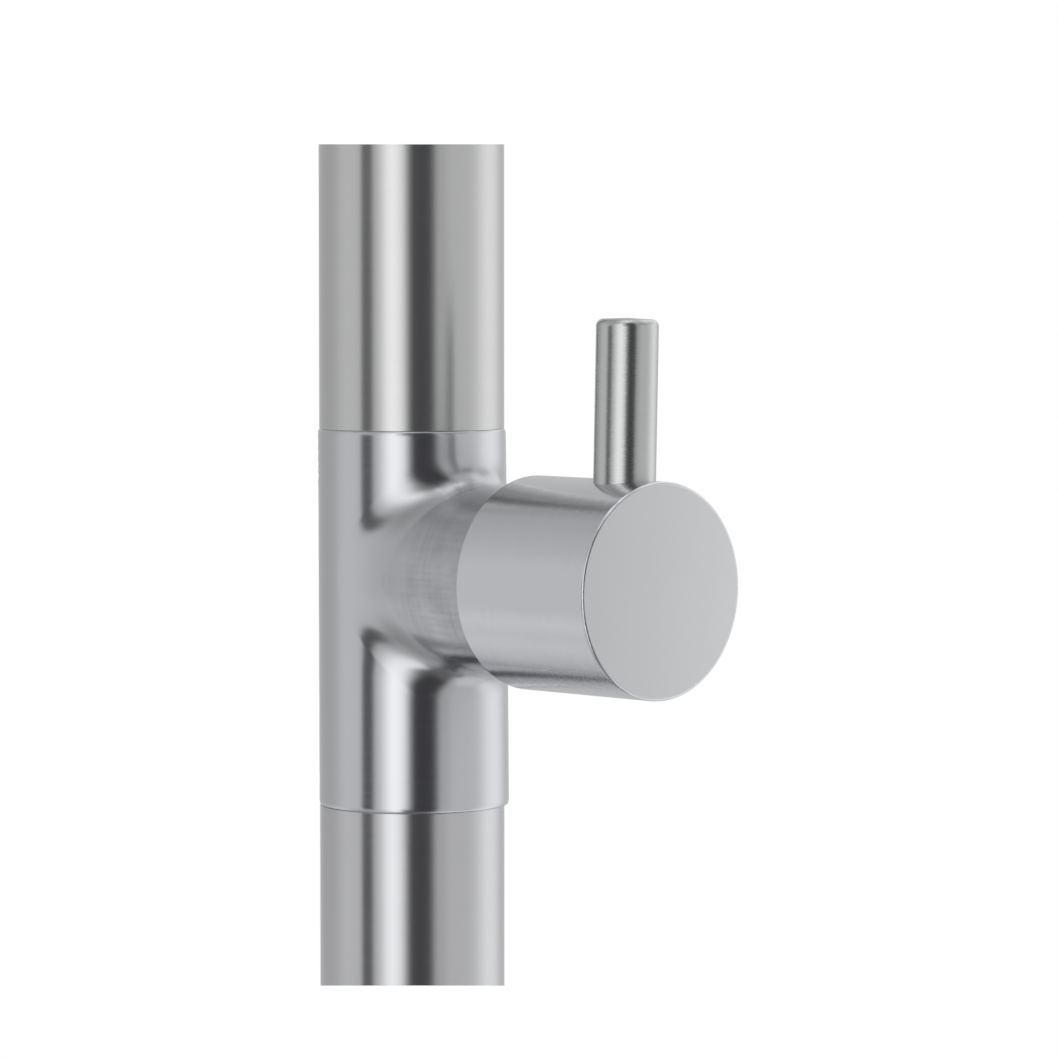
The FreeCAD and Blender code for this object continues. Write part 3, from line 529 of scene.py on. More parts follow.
# %% Leaning reflections
flat_narrowness = 8.0


def leaning(graph, amount):
    """The surface's normal, leaned a little round the local Z axis by an amount in radians."""
    normal = graph.node("ShaderNodeNewGeometry", None, None, "Normal")
    axis = graph.node("ShaderNodeVectorTransform",
                      {"vector_type": "VECTOR", "convert_from": "OBJECT", "convert_to": "WORLD"},
                      {0: (0.0, 0.0, 1.0)})
    sideways = vector(graph, "CROSS_PRODUCT", axis, normal)
    lean = graph.node("ShaderNodeVectorMath", {"operation": "SCALE"}, {0: sideways, "Scale": amount})
    return vector(graph, "NORMALIZE", vector(graph, "ADD", normal, lean))


def flattened(graph, toward, amount):
    """A lean that is greatest on one side, given in the piece's own axes, and fades out round from it."""
    normal = graph.node("ShaderNodeTexCoord", out="Normal")
    facing = vector(graph, "DOT_PRODUCT", normal, toward, "Value")
    near = facing.math("MAXIMUM", facing, 0.0)
    return near.math("POWER", near, flat_narrowness) * amount


print("normals can lean")

# %% [markdown]
# Every metal here ends the same way: a colour between two tones, a roughness, and a very shallow bump
# over a normal that may lean. One function makes that end, so each finish only says what drives them.

# %% The end of every metal
def scaled(tone, factor):
    """A tone made darker or lighter."""
    return tuple(level * factor for level in tone)


def shade(graph, tone_low, tone_high, mix, roughness, bump, depth, settings, lean=None):
    """Ends a metal: colour between two tones, roughness, bump and constants on the shader."""
    colour = graph.node("ShaderNodeMix", {"data_type": "RGBA"},
                        {0: mix, 6: (*tone_low, 1.0), 7: (*tone_high, 1.0)}, 2)
    relief = {"Strength": 1.0, "Distance": depth, "Height": bump}
    if lean is not None:
        relief["Normal"] = leaning(graph, lean)
    normal = graph.node("ShaderNodeBump", None, relief)
    inputs = {"Base Color": colour, "Roughness": roughness, "Normal": normal}
    inputs.update(settings)
    surface = graph.node("ShaderNodeBsdfPrincipled", None, inputs)
    graph.node("ShaderNodeOutputMaterial", None, {"Surface": surface}, None)


print("metals can be ended")

# %% [markdown]
# Along its lines brushed steel stays sharp, and across them it blurs, which the shader calls
# anisotropy: the tubes' upright reflections stay crisp from side to side and run together up and down.
# The streaks add the single lines that the eye picks out, in the roughness, the tone and a very shallow
# bump.

# %% Brushed steel
along_marks = 0.25  # a quarter turn from the shader's own direction to the marks


def brushed_steel(name, tone, roughness, anisotropy, line=2600.0, depth=0.3e-6, around=18.0, lean=0.0,
                  steady=0.0, flat=None, painted_shade=None, metallic=1.0):
    """Steel brushed round its own lathe axis.

    line and around count the marks per metre along the axis and across it, and depth is their relief.
    lean turns single marks sideways by up to half that many radians, and steady turns all of them.
    flat is a side of the piece and the further lean there. The painted shade, if given, is a function
    that builds a darker share from the graph.
    A metallic a little under 1 mixes in some matt light, which softens the darkest reflections.
    """
    material, graph = finish_graph(name)
    fine = streaks(graph, (around, around, line))
    broad = streaks(graph, (around / 2, around / 2, line / 14))
    cloud = specks(graph, 24.0)
    rough = roughness + fine.swing(0.05) + cloud.swing(0.05)
    light = 0.80 + broad * 0.2 + fine * 0.1
    # painted shade: a darker tone where the given function asks for it
    if painted_shade is not None:
        light = light - painted_shade(graph)
    leaned = fine.swing(lean) + steady
    if flat is not None:
        leaned = leaned + flattened(graph, *flat)
    shade(graph, scaled(tone, 0.82), scaled(tone, 1.02), light, rough, fine, depth,
          {"Metallic": metallic, "Anisotropic": anisotropy, "Anisotropic Rotation": along_marks}, leaned)
    return material


print("brushed steel can be mixed")

# %% [markdown]
# The two tubes are of one steel, but the photograph shows them differ a little in tone and in how flat
# their front is. A side is named by its azimuth, as for the studio's panels.

# %% Steel of the tubes
def level_toward(azimuth):
    """The level direction at an azimuth in degrees, 0 being in front of the shower."""
    return (math.sin(math.radians(azimuth)), -math.cos(math.radians(azimuth)), 0.0)


tube_front = level_toward(-34)
tube_steel = brushed_steel("brushed_tube", (0.602, 0.606, 0.604), 0.25, 0.82, flat=(tube_front, 0.018),
                           metallic=0.94)
lower_steel = brushed_steel("brushed_lower_tube", (0.597, 0.600, 0.618), 0.25, 0.82,
                            flat=(tube_front, 0.036), metallic=0.96)
print("steel for both tubes made")

# %% [markdown]
# Set screws and the drain sit in holes, so the tubes need those holes too. A Boolean modifier cuts a
# spun cylinder out of the tube as a drill would, and its result is kept as the tube's mesh.

# %% Drilling
drill_sides = 48


def drill_out(piece, cutters):
    """Cuts each (radius, from, to, place) cylinder out of a piece."""
    for radius, near, far_end, place in cutters:
        tool = spin([Vector((0, near)), Vector((radius, near)), Vector((radius, far_end)),
                     Vector((0, far_end))], drill_sides)
        drill = added("drill", as_mesh("drill", tool))
        drill.matrix_world = place
        change = piece.modifiers.new("drilled", "BOOLEAN")
        change.operation = "DIFFERENCE"
        change.solver = "EXACT"
        change.object = drill
        bpy.context.view_layer.update()
        cut_piece = piece.evaluated_get(bpy.context.evaluated_depsgraph_get())
        cut_mesh = bpy.data.meshes.new_from_object(cut_piece)
        piece.modifiers.clear()
        piece.data = cut_mesh
        bpy.data.objects.remove(drill)
    smooth(piece.data)


print("drill ready")

# %% [markdown]
# The column is two lengths of 42.4 mm tube with the valve body between them. Their ends are cut square
# and the sharp edge is taken off, and that small bevel is what draws each seam as a fine dark line. The
# tubes are long, so their CAD meshes are coarse: these lathe meshes have 256 sides.

# %% A tube from its node
tube_wall = 2.0 * MM
tube_edge = 0.2 * MM
hole_margin = 9.0 * MM
round_sides = 256


def tube_piece(name, node, steel, cutters):
    """A tube of its CAD node's length, with rings beside each hole so that its long faces stay true."""
    low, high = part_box(node)
    radius = high.x
    section = rounded([(radius - tube_wall, low.z), (radius, low.z, tube_edge),
                       (radius, high.z, tube_edge), (radius - tube_wall, high.z)])
    for cutter in cutters:
        for side in (-hole_margin, hole_margin):
            height = cutter[3].translation.z + side
            for index, point in enumerate(section):
                following = section[(index + 1) % len(section)]
                if point.x == following.x == radius and point.y < height < following.y:
                    section.insert(index + 1, Vector((radius, height)))
                    break
    piece = settle(name, spin(section, round_sides), "column", steel, node)
    drill_out(piece, cutters)


print("tubes can be made")

# %% [markdown]
# Small set screws hold the tubes on the valve body, the cap and the foot, and the winter drain has a
# seat of its own. Their holes are drilled where the frame's screws and drain sit in them, at the back
# and round the foot.

# %% Column tubes
screw_hole = 3.08 * MM
drain_seat = 8.0 * MM
drain_seat_depth = 1.4 * MM
seam_screw_rise = 14.0 * MM
cap_screw_drop = 10.5 * MM
foot_screw_rise = 26.0 * MM
foot_screw_turn = 60.0
lower_low, lower_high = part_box("lower_tube")
upper_low, upper_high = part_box("upper_tube")
drain_low, drain_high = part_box("drain_screw")
skin = lower_high.x
drain_height = (drain_low.z + drain_high.z) / 2


def rearward(height, turn=0.0):
    """An axis out of the column at a height, turned from the rear by an angle in degrees."""
    around = Matrix.Rotation(math.radians(turn), 4, "Z")
    return Matrix.Translation((0, 0, height)) @ around @ Matrix.Rotation(math.radians(-90), 4, "X")


def screw_bore(height, turn=0.0):
    """A set screw's hole, from the tube's middle out through its wall."""
    return (screw_hole, 0, skin * 2, rearward(height, turn))


lower_holes = [screw_bore(lower_high.z - seam_screw_rise),
               (drain_seat, skin - drain_seat_depth, skin * 2, rearward(drain_height))]
for number in range(3):
    lower_holes.append(screw_bore(lower_low.z + foot_screw_rise, foot_screw_turn + 120 * number))
upper_holes = [screw_bore(upper_low.z + seam_screw_rise), screw_bore(upper_high.z - cap_screw_drop)]
tube_piece("lower_tube_brushed", "lower_tube", lower_steel, lower_holes)
tube_piece("upper_tube_brushed", "upper_tube", tube_steel, upper_holes)

# %% [markdown]
# The valve body is a tee: an upright barrel and a branch of nearly the same width, run together with a
# soft fillet. A rolling ball explains the fillet: in every plane through the branch's axis, a circle
# touches the branch on one side and the barrel on the other. The barrel's section there is an ellipse,
# so the touch has no short formula and is found by halving the angle that it can lie in.

# %% Fillet of the valve body
tee_low, tee_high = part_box("tee_body")
barrel_radius = tee_high.x
branch_radius = 21.1 * MM
fillet_top = 5.6 * MM
fillet_spread = 0.03
fillet_power = 2.5
least_cosine = 1e-4
halvings = 60


def fillet_circle(angle):
    """The fillet's radius, its circle's centre and its touch on the barrel, as (radius, out)."""
    fillet = fillet_top * (1 + fillet_spread) / (abs(math.sin(angle)) ** fillet_power + fillet_spread)
    wide = barrel_radius / max(abs(math.cos(angle)), least_cosine)
    target = branch_radius + fillet
    low, high = 0.0, math.pi / 2
    for _ in range(halvings):
        middle = (low + high) / 2
        normal = Vector((math.sin(middle) / wide, math.cos(middle) / barrel_radius)).normalized()
        if wide * math.sin(middle) + fillet * normal.x < target:
            low = middle
        else:
            high = middle
    touch = Vector((wide * math.sin(low), barrel_radius * math.cos(low)))
    centre = touch + fillet * normal
    return fillet, centre, touch


for name, angle in (("top", math.pi / 2), ("side", 0.0)):
    print("fillet at the", name, round(fillet_circle(angle)[0] / MM, 1), "mm")

# %% [markdown]
# The barrel's mesh is a net of columns of points. Each column starts on the branch at its own angle,
# flows over the fillet and goes on round the barrel to its edge. The angles lie close together
# everywhere, and four of them run to the corners of the barrel's side as it would lie unrolled.

# %% Angles round the branch
barrel_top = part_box("upper_tube")[0].z - valve_height
barrel_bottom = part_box("lower_tube")[1].z - valve_height
barrel_edge = 1.3 * MM
rows_top = barrel_top - barrel_edge
rows_bottom = barrel_bottom + barrel_edge
half_round = math.pi * barrel_radius
quarter_steps = 48
least_steps = 8


def branch_angles():
    """Angles round the branch, close together everywhere and meeting the barrel's four corners."""
    upper = math.atan2(rows_top, half_round)
    lower = math.atan2(-rows_bottom, half_round)
    marks = [0.0, upper, math.pi / 2, math.pi - upper, math.pi, math.pi + lower, 1.5 * math.pi,
             2 * math.pi - lower, 2 * math.pi]
    angles = []
    for first, last in zip(marks, marks[1:]):
        steps = max(least_steps, round(quarter_steps * (last - first) / (math.pi / 2)))
        for step in range(steps):
            angles.append(first + (last - first) * step / steps)
    return angles


print("columns of points in the net:", len(branch_angles()))

# %% [markdown]
# Every point of a column lies on the true surface. A light polish then rounds the places where two
# curves meet, as a buffing wheel does, so the reflections bend softly.

# %% Columns over fillet and barrel
polish_passes = 16


def eased(rows, first, last):
    """Rows with the bends between first and last polished round, as a buffing wheel leaves them."""
    for _ in range(polish_passes):
        before = list(rows)
        for row in range(first, last + 1):
            rows[row] = before[row].lerp((before[row - 1] + before[row + 1]) / 2, 0.5)
    return rows


branch_sink = 0.02 * MM
branch_overlap = 0.4 * MM
fillet_steps = 14
near_steps = 6
near_step = 0.5 * MM
far_steps = 14
unpolished_rows = 3


def barrel_rows(angle):
    """Points from the fillet's start on the branch, over it and out to the barrel's edge."""
    fillet, centre, touch = fillet_circle(angle)
    across = Vector((math.cos(angle), math.sin(angle)))
    rows = []

    def put(radius, out):
        rows.append(Vector((radius * across.x, -out, valve_height + radius * across.y)))

    put(branch_radius - branch_sink, centre.y + branch_overlap)
    first = Vector((branch_radius, centre.y)) - centre
    last = touch - centre
    for step in range(fillet_steps + 1):
        spot = centre + first.slerp(last, step / fillet_steps) * fillet
        put(spot.x, spot.y)
    start_turn = math.asin(max(-1.0, min(1.0, touch.x * across.x / barrel_radius)))
    start_rise = touch.x * across.y
    stretch = half_round / max(abs(across.x), least_cosine)
    if across.y > 0:
        stretch = min(stretch, rows_top / across.y)
    if across.y < 0:
        stretch = min(stretch, rows_bottom / across.y)
    end_turn = stretch * across.x / barrel_radius
    end_rise = stretch * across.y
    length = math.hypot((end_turn - start_turn) * barrel_radius, end_rise - start_rise)
    shares = [near_step * step / length for step in range(1, near_steps + 1)]
    near_share = shares[-1]
    for step in range(1, far_steps + 1):
        shares.append(near_share + (1 - near_share) * step / far_steps)
    for share in shares:
        turn_angle = start_turn + (end_turn - start_turn) * share
        rise = start_rise + (end_rise - start_rise) * share
        rows.append(Vector((barrel_radius * math.sin(turn_angle), -barrel_radius * math.cos(turn_angle),
                            valve_height + rise)))
    return eased(rows, unpolished_rows, fillet_steps + near_steps)


print("points in a column:", len(barrel_rows(0.0)))

# %% [markdown]
# Faces join neighbouring columns all the way round the branch. Behind the barrel the columns of both
# sides meet on one line, so points in the same place become one.

# %% Net over fillet and barrel
def net(columns):
    """Faces between neighbouring columns of points, all the way round."""
    made = bmesh.new()
    grid = [[made.verts.new(point) for point in column] for column in columns]
    for index, column in enumerate(grid):
        following = grid[(index + 1) % len(grid)]
        for row in range(len(column) - 1):
            made.faces.new((column[row], column[row + 1], following[row + 1], following[row]))
    return made, grid


same_place = 1e-6
tee, _ = net([barrel_rows(angle) for angle in branch_angles()])
bmesh.ops.remove_doubles(tee, verts=tee.verts, dist=2 * same_place)
print("net over the barrel has", len(tee.faces), "faces")

# %% [markdown]
# The net ends in two open rings. Each is rounded over the barrel's edge, drawn in to the spigot that
# plugs into the tube, and closed. The body isn't quite a cylinder either: the photograph shows it
# fuller towards its lower end by less than a millimetre, so its points are pushed out.

# %% Ends and fullness of the barrel
edge_drop = 0.45 * MM
spigot_radius = 19.1 * MM
spigot_depth = 8.0 * MM
edge_steps = 6


def close_barrel(made, height, sign):
    """Rounds a barrel end over to the spigot and closes it."""
    edges = [edge for edge in made.edges
             if edge.is_boundary and all(abs(v.co.z - height) < same_place for v in edge.verts)]
    path = []
    for step in range(1, edge_steps + 1):
        bend = math.pi / 2 * step / edge_steps
        path.append((barrel_radius - edge_drop + edge_drop * math.cos(bend),
                     barrel_edge * math.sin(bend)))
    path += [(spigot_radius, barrel_edge), (spigot_radius, barrel_edge + spigot_depth)]
    for radius, rise in path:
        grown = bmesh.ops.extrude_edge_only(made, edges=edges)["geom"]
        edges = [item for item in grown if isinstance(item, bmesh.types.BMEdge) and item.is_boundary]
        for vertex in [item for item in grown if isinstance(item, bmesh.types.BMVert)]:
            flat = Vector((vertex.co.x, vertex.co.y)).normalized() * radius
            vertex.co = (flat.x, flat.y, height + sign * rise)
    bmesh.ops.contextual_create(made, geom=edges)


full_side = 0.75 * MM
slim_side = 0.2 * MM
fullness_power = 0.7


def fill_out(made):
    """Gives the body its slight fullness towards its lower end, more on one side."""
    side = Vector((math.cos(camera_azimuth), math.sin(camera_azimuth)))
    for vertex in made.verts:
        share = (valve_height + barrel_top - vertex.co.z) / (barrel_top - barrel_bottom)
        share = max(0.0, min(1.0, share)) ** fullness_power
        across = Vector((vertex.co.x, vertex.co.y)).dot(side) / barrel_radius
        push = (full_side if across > 0 else slim_side) * share * min(1.0, across * across)
        vertex.co.x += side.x * push
        vertex.co.y += side.y * push


close_barrel(tee, valve_height + rows_top, 1)
close_barrel(tee, valve_height + rows_bottom, -1)
fill_out(tee)
bmesh.ops.recalc_face_normals(tee, faces=tee.faces)
print("valve body has", len(tee.faces), "faces")

# %% [markdown]
# The barrel is brushed round like the tubes. The fillet round the branch takes a painted shade, a darker
# tone where the crease would hold shade, so the finish asks how far out and how close to the branch a
# point lies. The brushing's direction comes from the mesh's texture space, so that is centred on the
# barrel.

# %% Barrel finish
def distance_from_line(graph, point, kept):
    """Distance from a line through a point; kept has 1 for the axes that count and 0 for the line's."""
    offset = vector(graph, "SUBTRACT", object_place(graph), point)
    return vector(graph, "LENGTH", vector(graph, "MULTIPLY", offset, kept), None, "Value")


# how far out and how far from the branch's axis the painted shade in the fillet reaches, and how dark it
# gets
painted_shade_out = (2 * MM, 14 * MM)
painted_shade_round = (22 * MM, 29 * MM)
painted_shade_share = 0.85


def fillet_painted_shade(graph):
    """Painted shade in the fillet's crease: most of the way to 1 on the fillet round the branch and 0
    over the rest of the barrel.
    """
    out = part(graph, object_place(graph), "Y") * -1.0
    reach = distance_from_line(graph, (0.0, 0.0, valve_height), (1.0, 0.0, 1.0))
    return out.step(*painted_shade_out) * (1 - reach.step(*painted_shade_round)) * painted_shade_share


# the barrel's fillet takes a painted shade, a darker tone in its crease
tee_steel = brushed_steel("satin_tee", (0.614, 0.620, 0.642), 0.24, 0.8, line=1700.0, painted_shade=fillet_painted_shade)
tee_mesh = settle("tee_body_satin", tee, "column", tee_steel, "tee_body").data
tee_mesh.use_auto_texspace = False
tee_mesh.texspace_location = (0, 0, valve_height)
tee_mesh.texspace_size = (barrel_radius, barrel_radius, barrel_top)

# %% [markdown]
# The branch is a plain turned neck, except that it ends where the fillet begins, and that edge winds
# round it. So it is a net as well, with the same angles as the barrel's, and the two meet all the way
# round. Its far end has a small rounded edge and a bore for the cartridge.

# %% Side branch
branch_end = -tee_low.y
branch_end_edge = 0.6 * MM
branch_bore = 12.0 * MM
end_steps = 4
straight_steps = 6


def branch_rows(angle):
    """Radius and distance out along the branch, from its end to the fillet."""
    centre = fillet_circle(angle)[1]
    edge = branch_end_edge
    rows = [(branch_bore, branch_end)]
    for step in range(end_steps + 1):
        bend = math.pi / 2 * step / end_steps
        rows.append((branch_radius - edge + edge * math.sin(bend),
                     branch_end - edge + edge * math.cos(bend)))
    start = branch_end - edge - support
    for step in range(straight_steps + 1):
        rows.append((branch_radius, start + (centre.y - start) * step / straight_steps))
    return rows


branch, grid = net([[Vector((radius * math.cos(angle), radius * math.sin(angle), out))
                     for radius, out in branch_rows(angle)] for angle in branch_angles()])
branch.faces.new([column[0] for column in grid])
bmesh.ops.recalc_face_normals(branch, faces=branch.faces)
print("side branch has", len(branch.faces), "faces")

# %% [markdown]
# The branch was ground by hand in two directions, so its marks cross. Two streaks, one round it and one
# along it, show in soft patches past the fillet. The branch also takes a painted shade: it starts at the
# fillet's painted shade and grows darker past it, towards the knob. Each point of the mesh keeps a number
# for how far past the fillet's winding edge it lies, and the finish reads that number. The branch's top
# is rubbed duller.

# %% Side branch finish
marks_and_shade_length = 12.0 * MM
# the branch's tone at the fillet carries on the fillet's painted shade, and past the fillet a painted
# shade darkens it further
fillet_shaded_tone = 0.52
past_fillet_shade = 0.16
patch_wear = 1.1
along_wear = 0.55
hatch_patches = (0.42, 0.62)
rubbed_top = (9 * MM, 18 * MM)
rubbed_roughness = 0.16
branch_lean = -0.06
brushed_look = {"Metallic": 1.0, "Anisotropic": 0.7, "Anisotropic Rotation": along_marks}
branch_steel, branch_graph = finish_graph("satin_branch")
around_lines = streaks(branch_graph, (30.0, 30.0, 1500.0))
along_lines = streaks(branch_graph, (900.0, 900.0, 90.0))
patches = streaks(branch_graph, (110.0, 110.0, 160.0))
past = branch_graph.node("ShaderNodeAttribute", {"attribute_name": "past_fillet"}, None, "Fac")
eased_past = past.step(0.0, 1.0)
crossed_marks_and_shade = patches.swing(patch_wear) + along_lines.swing(along_wear) + past_fillet_shade
# painted shade darkening past the fillet, mixed with the patches of the crossing marks
light = fillet_shaded_tone - eased_past * crossed_marks_and_shade
hatched = patches.step(*hatch_patches)
light = light + past.step(0.0, 0.3) * (around_lines - 0.5) * (0.2 + hatched * 0.5)
rubbed = part(branch_graph, object_place(branch_graph), "Y").step(*rubbed_top) * rubbed_roughness
shade(branch_graph, (0.400, 0.405, 0.421), (0.618, 0.624, 0.646), light,
      0.24 + rubbed + along_lines.swing(0.08) + patches.swing(0.06),
      around_lines * 0.5 + along_lines * 0.5, 0.8e-6, brushed_look, eased_past * branch_lean)
branch_piece = settle("tee_branch_satin", branch, "column", branch_steel, "tee_body",
                      FORWARD)
past_fillet = branch_piece.data.attributes.new("past_fillet", "FLOAT", "POINT")
for vertex, entry in zip(branch_piece.data.vertices, past_fillet.data):
    start = fillet_circle(math.atan2(vertex.co.y, vertex.co.x))[1].y
    entry.value = max(0.0, min(1.0, (vertex.co.z - start) / marks_and_shade_length))

# %% [markdown]
# The knob is turned from bar: a plain sleeve that slips over the branch, closed by a flat face. It is a
# lathe shape, so one line of corners draws it. The sleeve is brushed round and the face has a fine even
# grain, so the mesh carries two finishes, and the faces that look straight out take the second.

# %% Knob
knob_low, knob_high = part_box("knob_body")
knob_radius = knob_high.x
knob_rear = -knob_high.y
knob_face = -knob_low.y
knob_edge = 0.75 * MM
knob_rear_edge = 0.3 * MM
skirt_inner = branch_radius + 0.7 * MM
skirt_floor = knob_rear + 14.0 * MM
knob_side = (-0.6, -0.8, 0.0)
knob_steel = brushed_steel("satin_knob", (0.674, 0.680, 0.706), 0.20, 0.85, line=1500.0, depth=1.2e-6,
                           around=60.0, lean=0.11, steady=-0.03, flat=(knob_side, -0.05))
face_material, face_graph = finish_graph("satin_face")
face_grain = specks(face_graph, 900.0)
face_cloud = specks(face_graph, 30.0)
shade(face_graph, (0.636, 0.642, 0.654), (0.656, 0.662, 0.674), face_cloud, face_grain * 0.06 + 0.33,
      face_grain, 0.4e-6, {"Metallic": 1.0})
knob_corners = [(skirt_inner, knob_rear), (knob_radius, knob_rear, knob_rear_edge),
                (knob_radius, knob_face, knob_edge), (0, knob_face), (0, skirt_floor),
                (skirt_inner, skirt_floor)]
knob = settle("knob_body_satin", spin(rounded(knob_corners), round_sides), "knob", knob_steel,
              "knob_body", FORWARD)
knob.data.materials.append(face_material)
for polygon in knob.data.polygons:
    at_front = polygon.center.z > knob_face - 0.1 * MM
    polygon.material_index = 1 if at_front and polygon.normal.z > 0.999 else 0

# %% [markdown]
# The lever is a plain round pin screwed into the knob, with its top edge rounded and crowned a little.
# It leans a degree and a half to one side, as the photograph shows it. It was turned on a lathe, which
# leaves shorter and finer marks than the brushing of the tubes.

# %% Lever
lever_radius = 6.9 * MM
lever_axis = 69.3 * MM
lever_lean = math.radians(1.4)
lever_top = 59.5 * MM
lever_foot = 20.55 * MM
lever_crown = 0.3 * MM
lever_top_edge = 1.6 * MM
lever_foot_edge = 0.5 * MM
lever_sides = 128
lever_place = Matrix.Translation((0, -lever_axis, valve_height)) @ Matrix.Rotation(lever_lean, 4, "Y")
lever_corners = [(0, lever_foot), (lever_radius, lever_foot, lever_foot_edge),
                 (lever_radius, lever_top - lever_crown, lever_top_edge), (0, lever_top)]
lever_steel = brushed_steel("turned_lever", (0.568, 0.580, 0.575), 0.28, 0.55, line=3000.0,
                            around=500.0, lean=0.045, steady=-0.012, flat=(level_toward(-85), 0.12))
settle("lever_pin_turned", spin(rounded(lever_corners), lever_sides), "knob", lever_steel, "lever_pin",
       lever_place)

# %% [markdown]
# The arm is one length of drawn 22 mm tube, bent on a former at its end so that the head hangs level.
# Its CAD mesh follows the bend in flat steps, so the arm is swept here. Its middle line is the
# straight, the arc and the short drop, with most of its stations in the arc.

# %% Middle line of the arm
arm_low, arm_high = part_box("arm_tube")
arm_radius = arm_high.x
arm_height = arm_high.z - arm_radius
arm_start = -arm_high.y
arm_reach = -arm_low.y - arm_radius
arm_bend = 48.0 * MM
bend_steps = 48


def arm_path():
    """Points, directions across the bend and lengths along the arm's middle line."""
    stations = []
    bend_start = arm_reach - arm_bend
    straight = bend_start - arm_start
    for share in (0.0, 0.01, 0.5, 1.0):
        out = arm_start + straight * share
        stations.append((Vector((0, -out, arm_height)), Vector((0, 0, 1)), straight * share))
    for step in range(1, bend_steps + 1):
        turn = math.pi / 2 * step / bend_steps
        upward = Vector((0, -math.sin(turn), math.cos(turn)))
        centre = Vector((0, -bend_start, arm_height - arm_bend))
        stations.append((centre + upward * arm_bend, upward, straight + arm_bend * turn))
    drop = arm_height - arm_bend - arm_low.z
    bend_end = straight + arm_bend * math.pi / 2
    for share in (0.5, 1.0):
        low = Vector((0, -arm_reach, arm_height - arm_bend - drop * share))
        stations.append((low, Vector((0, -1, 0)), bend_end + drop * share))
    return stations


print("stations along the arm:", len(arm_path()))

# %% [markdown]
# A ring of points is laid at every station, outside and then back again inside, and rings are joined by
# faces. Each point keeps how far along the tube it lies and how far round.

# %% Mesh of the arm
arm_wall = 1.5 * MM
arm_sides = 96


def arm_mesh():
    """The arm as a tube with a wall; returns its mesh and where each vertex lies along and round."""
    made = bmesh.new()
    rings = []
    lays = []
    stations = arm_path()
    rows = [(*station, arm_radius) for station in stations]
    rows += [(*station, arm_radius - arm_wall) for station in reversed(stations)]
    for spot, upward, length, radius in rows:
        ring = []
        for number in range(arm_sides):
            angle = 2 * math.pi * number / arm_sides
            offset = Vector((1, 0, 0)) * math.sin(angle) + upward * math.cos(angle)
            ring.append(made.verts.new(spot + offset * radius))
            lays.append((length, angle * arm_radius))
        rings.append(ring)
    for ring, following in zip(rings, rings[1:] + rings[:1]):
        for number in range(arm_sides):
            after = (number + 1) % arm_sides
            made.faces.new((ring[number], ring[after], following[after], following[number]))
    bmesh.ops.recalc_face_normals(made, faces=made.faces)
    return made, lays


print("arm can be swept")

# %% [markdown]
# The brushing has to follow the bend as well. Its lines are noise in those two numbers, which the
# finish reads back from the mesh.

# %% Arm tube
arm_marks_along = 2200.0
arm_marks_round = 40.0
arm_steel, arm_graph = finish_graph("brushed_arm")
along_arm = arm_graph.node("ShaderNodeAttribute", {"attribute_name": "along_arm"}, None, "Fac")
round_arm = arm_graph.node("ShaderNodeAttribute", {"attribute_name": "round_arm"}, None, "Fac")
arm_lay = arm_graph.node("ShaderNodeCombineXYZ", None,
                         {0: along_arm * arm_marks_along, 1: round_arm * arm_marks_round})
arm_lines = noise(arm_graph, arm_lay)
arm_cloud = specks(arm_graph, 24.0)
shade(arm_graph, (0.49, 0.495, 0.50), (0.61, 0.615, 0.62), 0.75 + arm_lines.swing(0.5),
      0.26 + arm_lines.swing(0.1) + arm_cloud.swing(0.06), arm_lines, 0.8e-6, {"Metallic": 1.0})
arm, arm_lays = arm_mesh()
arm_piece = settle("arm_tube_brushed", arm, "column", arm_steel, "arm_tube")
for name, which in (("along_arm", 0), ("round_arm", 1)):
    layer = arm_piece.data.attributes.new(name, "FLOAT", "POINT")
    for entry, lay in zip(layer.data, arm_lays):
        entry.value = lay[which]

# %% [markdown]
# The base plate is laser-cut from brushed sheet, so its lines run straight across it and its edge is
# plainer than its face. Feet and rain leave it duller than the column, with faint water marks that
# dry in rings, which a distance from scattered points draws well.

# %% Base plate finish
drops_per_metre = 34.0
ring_inside = (0.26, 0.30)
ring_outside = (0.31, 0.36)
ring_patches = (0.5, 0.62)
plate_steel, plate_graph = finish_graph("brushed_plate")
sheet_lines = streaks(plate_graph, (12.0, 1400.0, 900.0))
sheet_cloud = specks(plate_graph, 14.0)
drops = plate_graph.node("ShaderNodeTexVoronoi", {"feature": "F1"},
                         {"Vector": object_place(plate_graph), "Scale": drops_per_metre})
rings = drops.step(*ring_inside) * (1 - drops.step(*ring_outside))
ring_marks = rings * sheet_cloud.step(*ring_patches)
plate_tone = 0.7 + sheet_lines.swing(0.6) + sheet_cloud.swing(0.4) + ring_marks * 0.18
shade(plate_graph, (0.44, 0.445, 0.45), (0.60, 0.605, 0.61), plate_tone,
      0.34 + sheet_lines.swing(0.12) + ring_marks * 0.08, sheet_lines, 1.5e-6, {"Metallic": 1.0})
print("plate finish made")

# %% [markdown]
# The smaller steel parts each had their own last tool. Caps and collars were turned and then brushed.
# Sockets and bosses have finer marks of no single direction, screws are bright from the lathe, and the
# hexagons and the ball are buffed nearly bright.

# %% Small steel parts
def turned_steel(name, tone, roughness, marks, depth):
    """Steel with fine marks of no single direction, for small turned and milled parts."""
    material, graph = finish_graph(name)
    fine = specks(graph, marks, 4.0)
    cloud = specks(graph, 60.0)
    light = 0.6 + fine.swing(0.5) + cloud.swing(0.7)
    rough = roughness + fine.swing(0.10) + cloud.swing(0.08)
    shade(graph, scaled(tone, 0.85), scaled(tone, 1.06), light, rough, fine, depth, {"Metallic": 1.0})
    return material


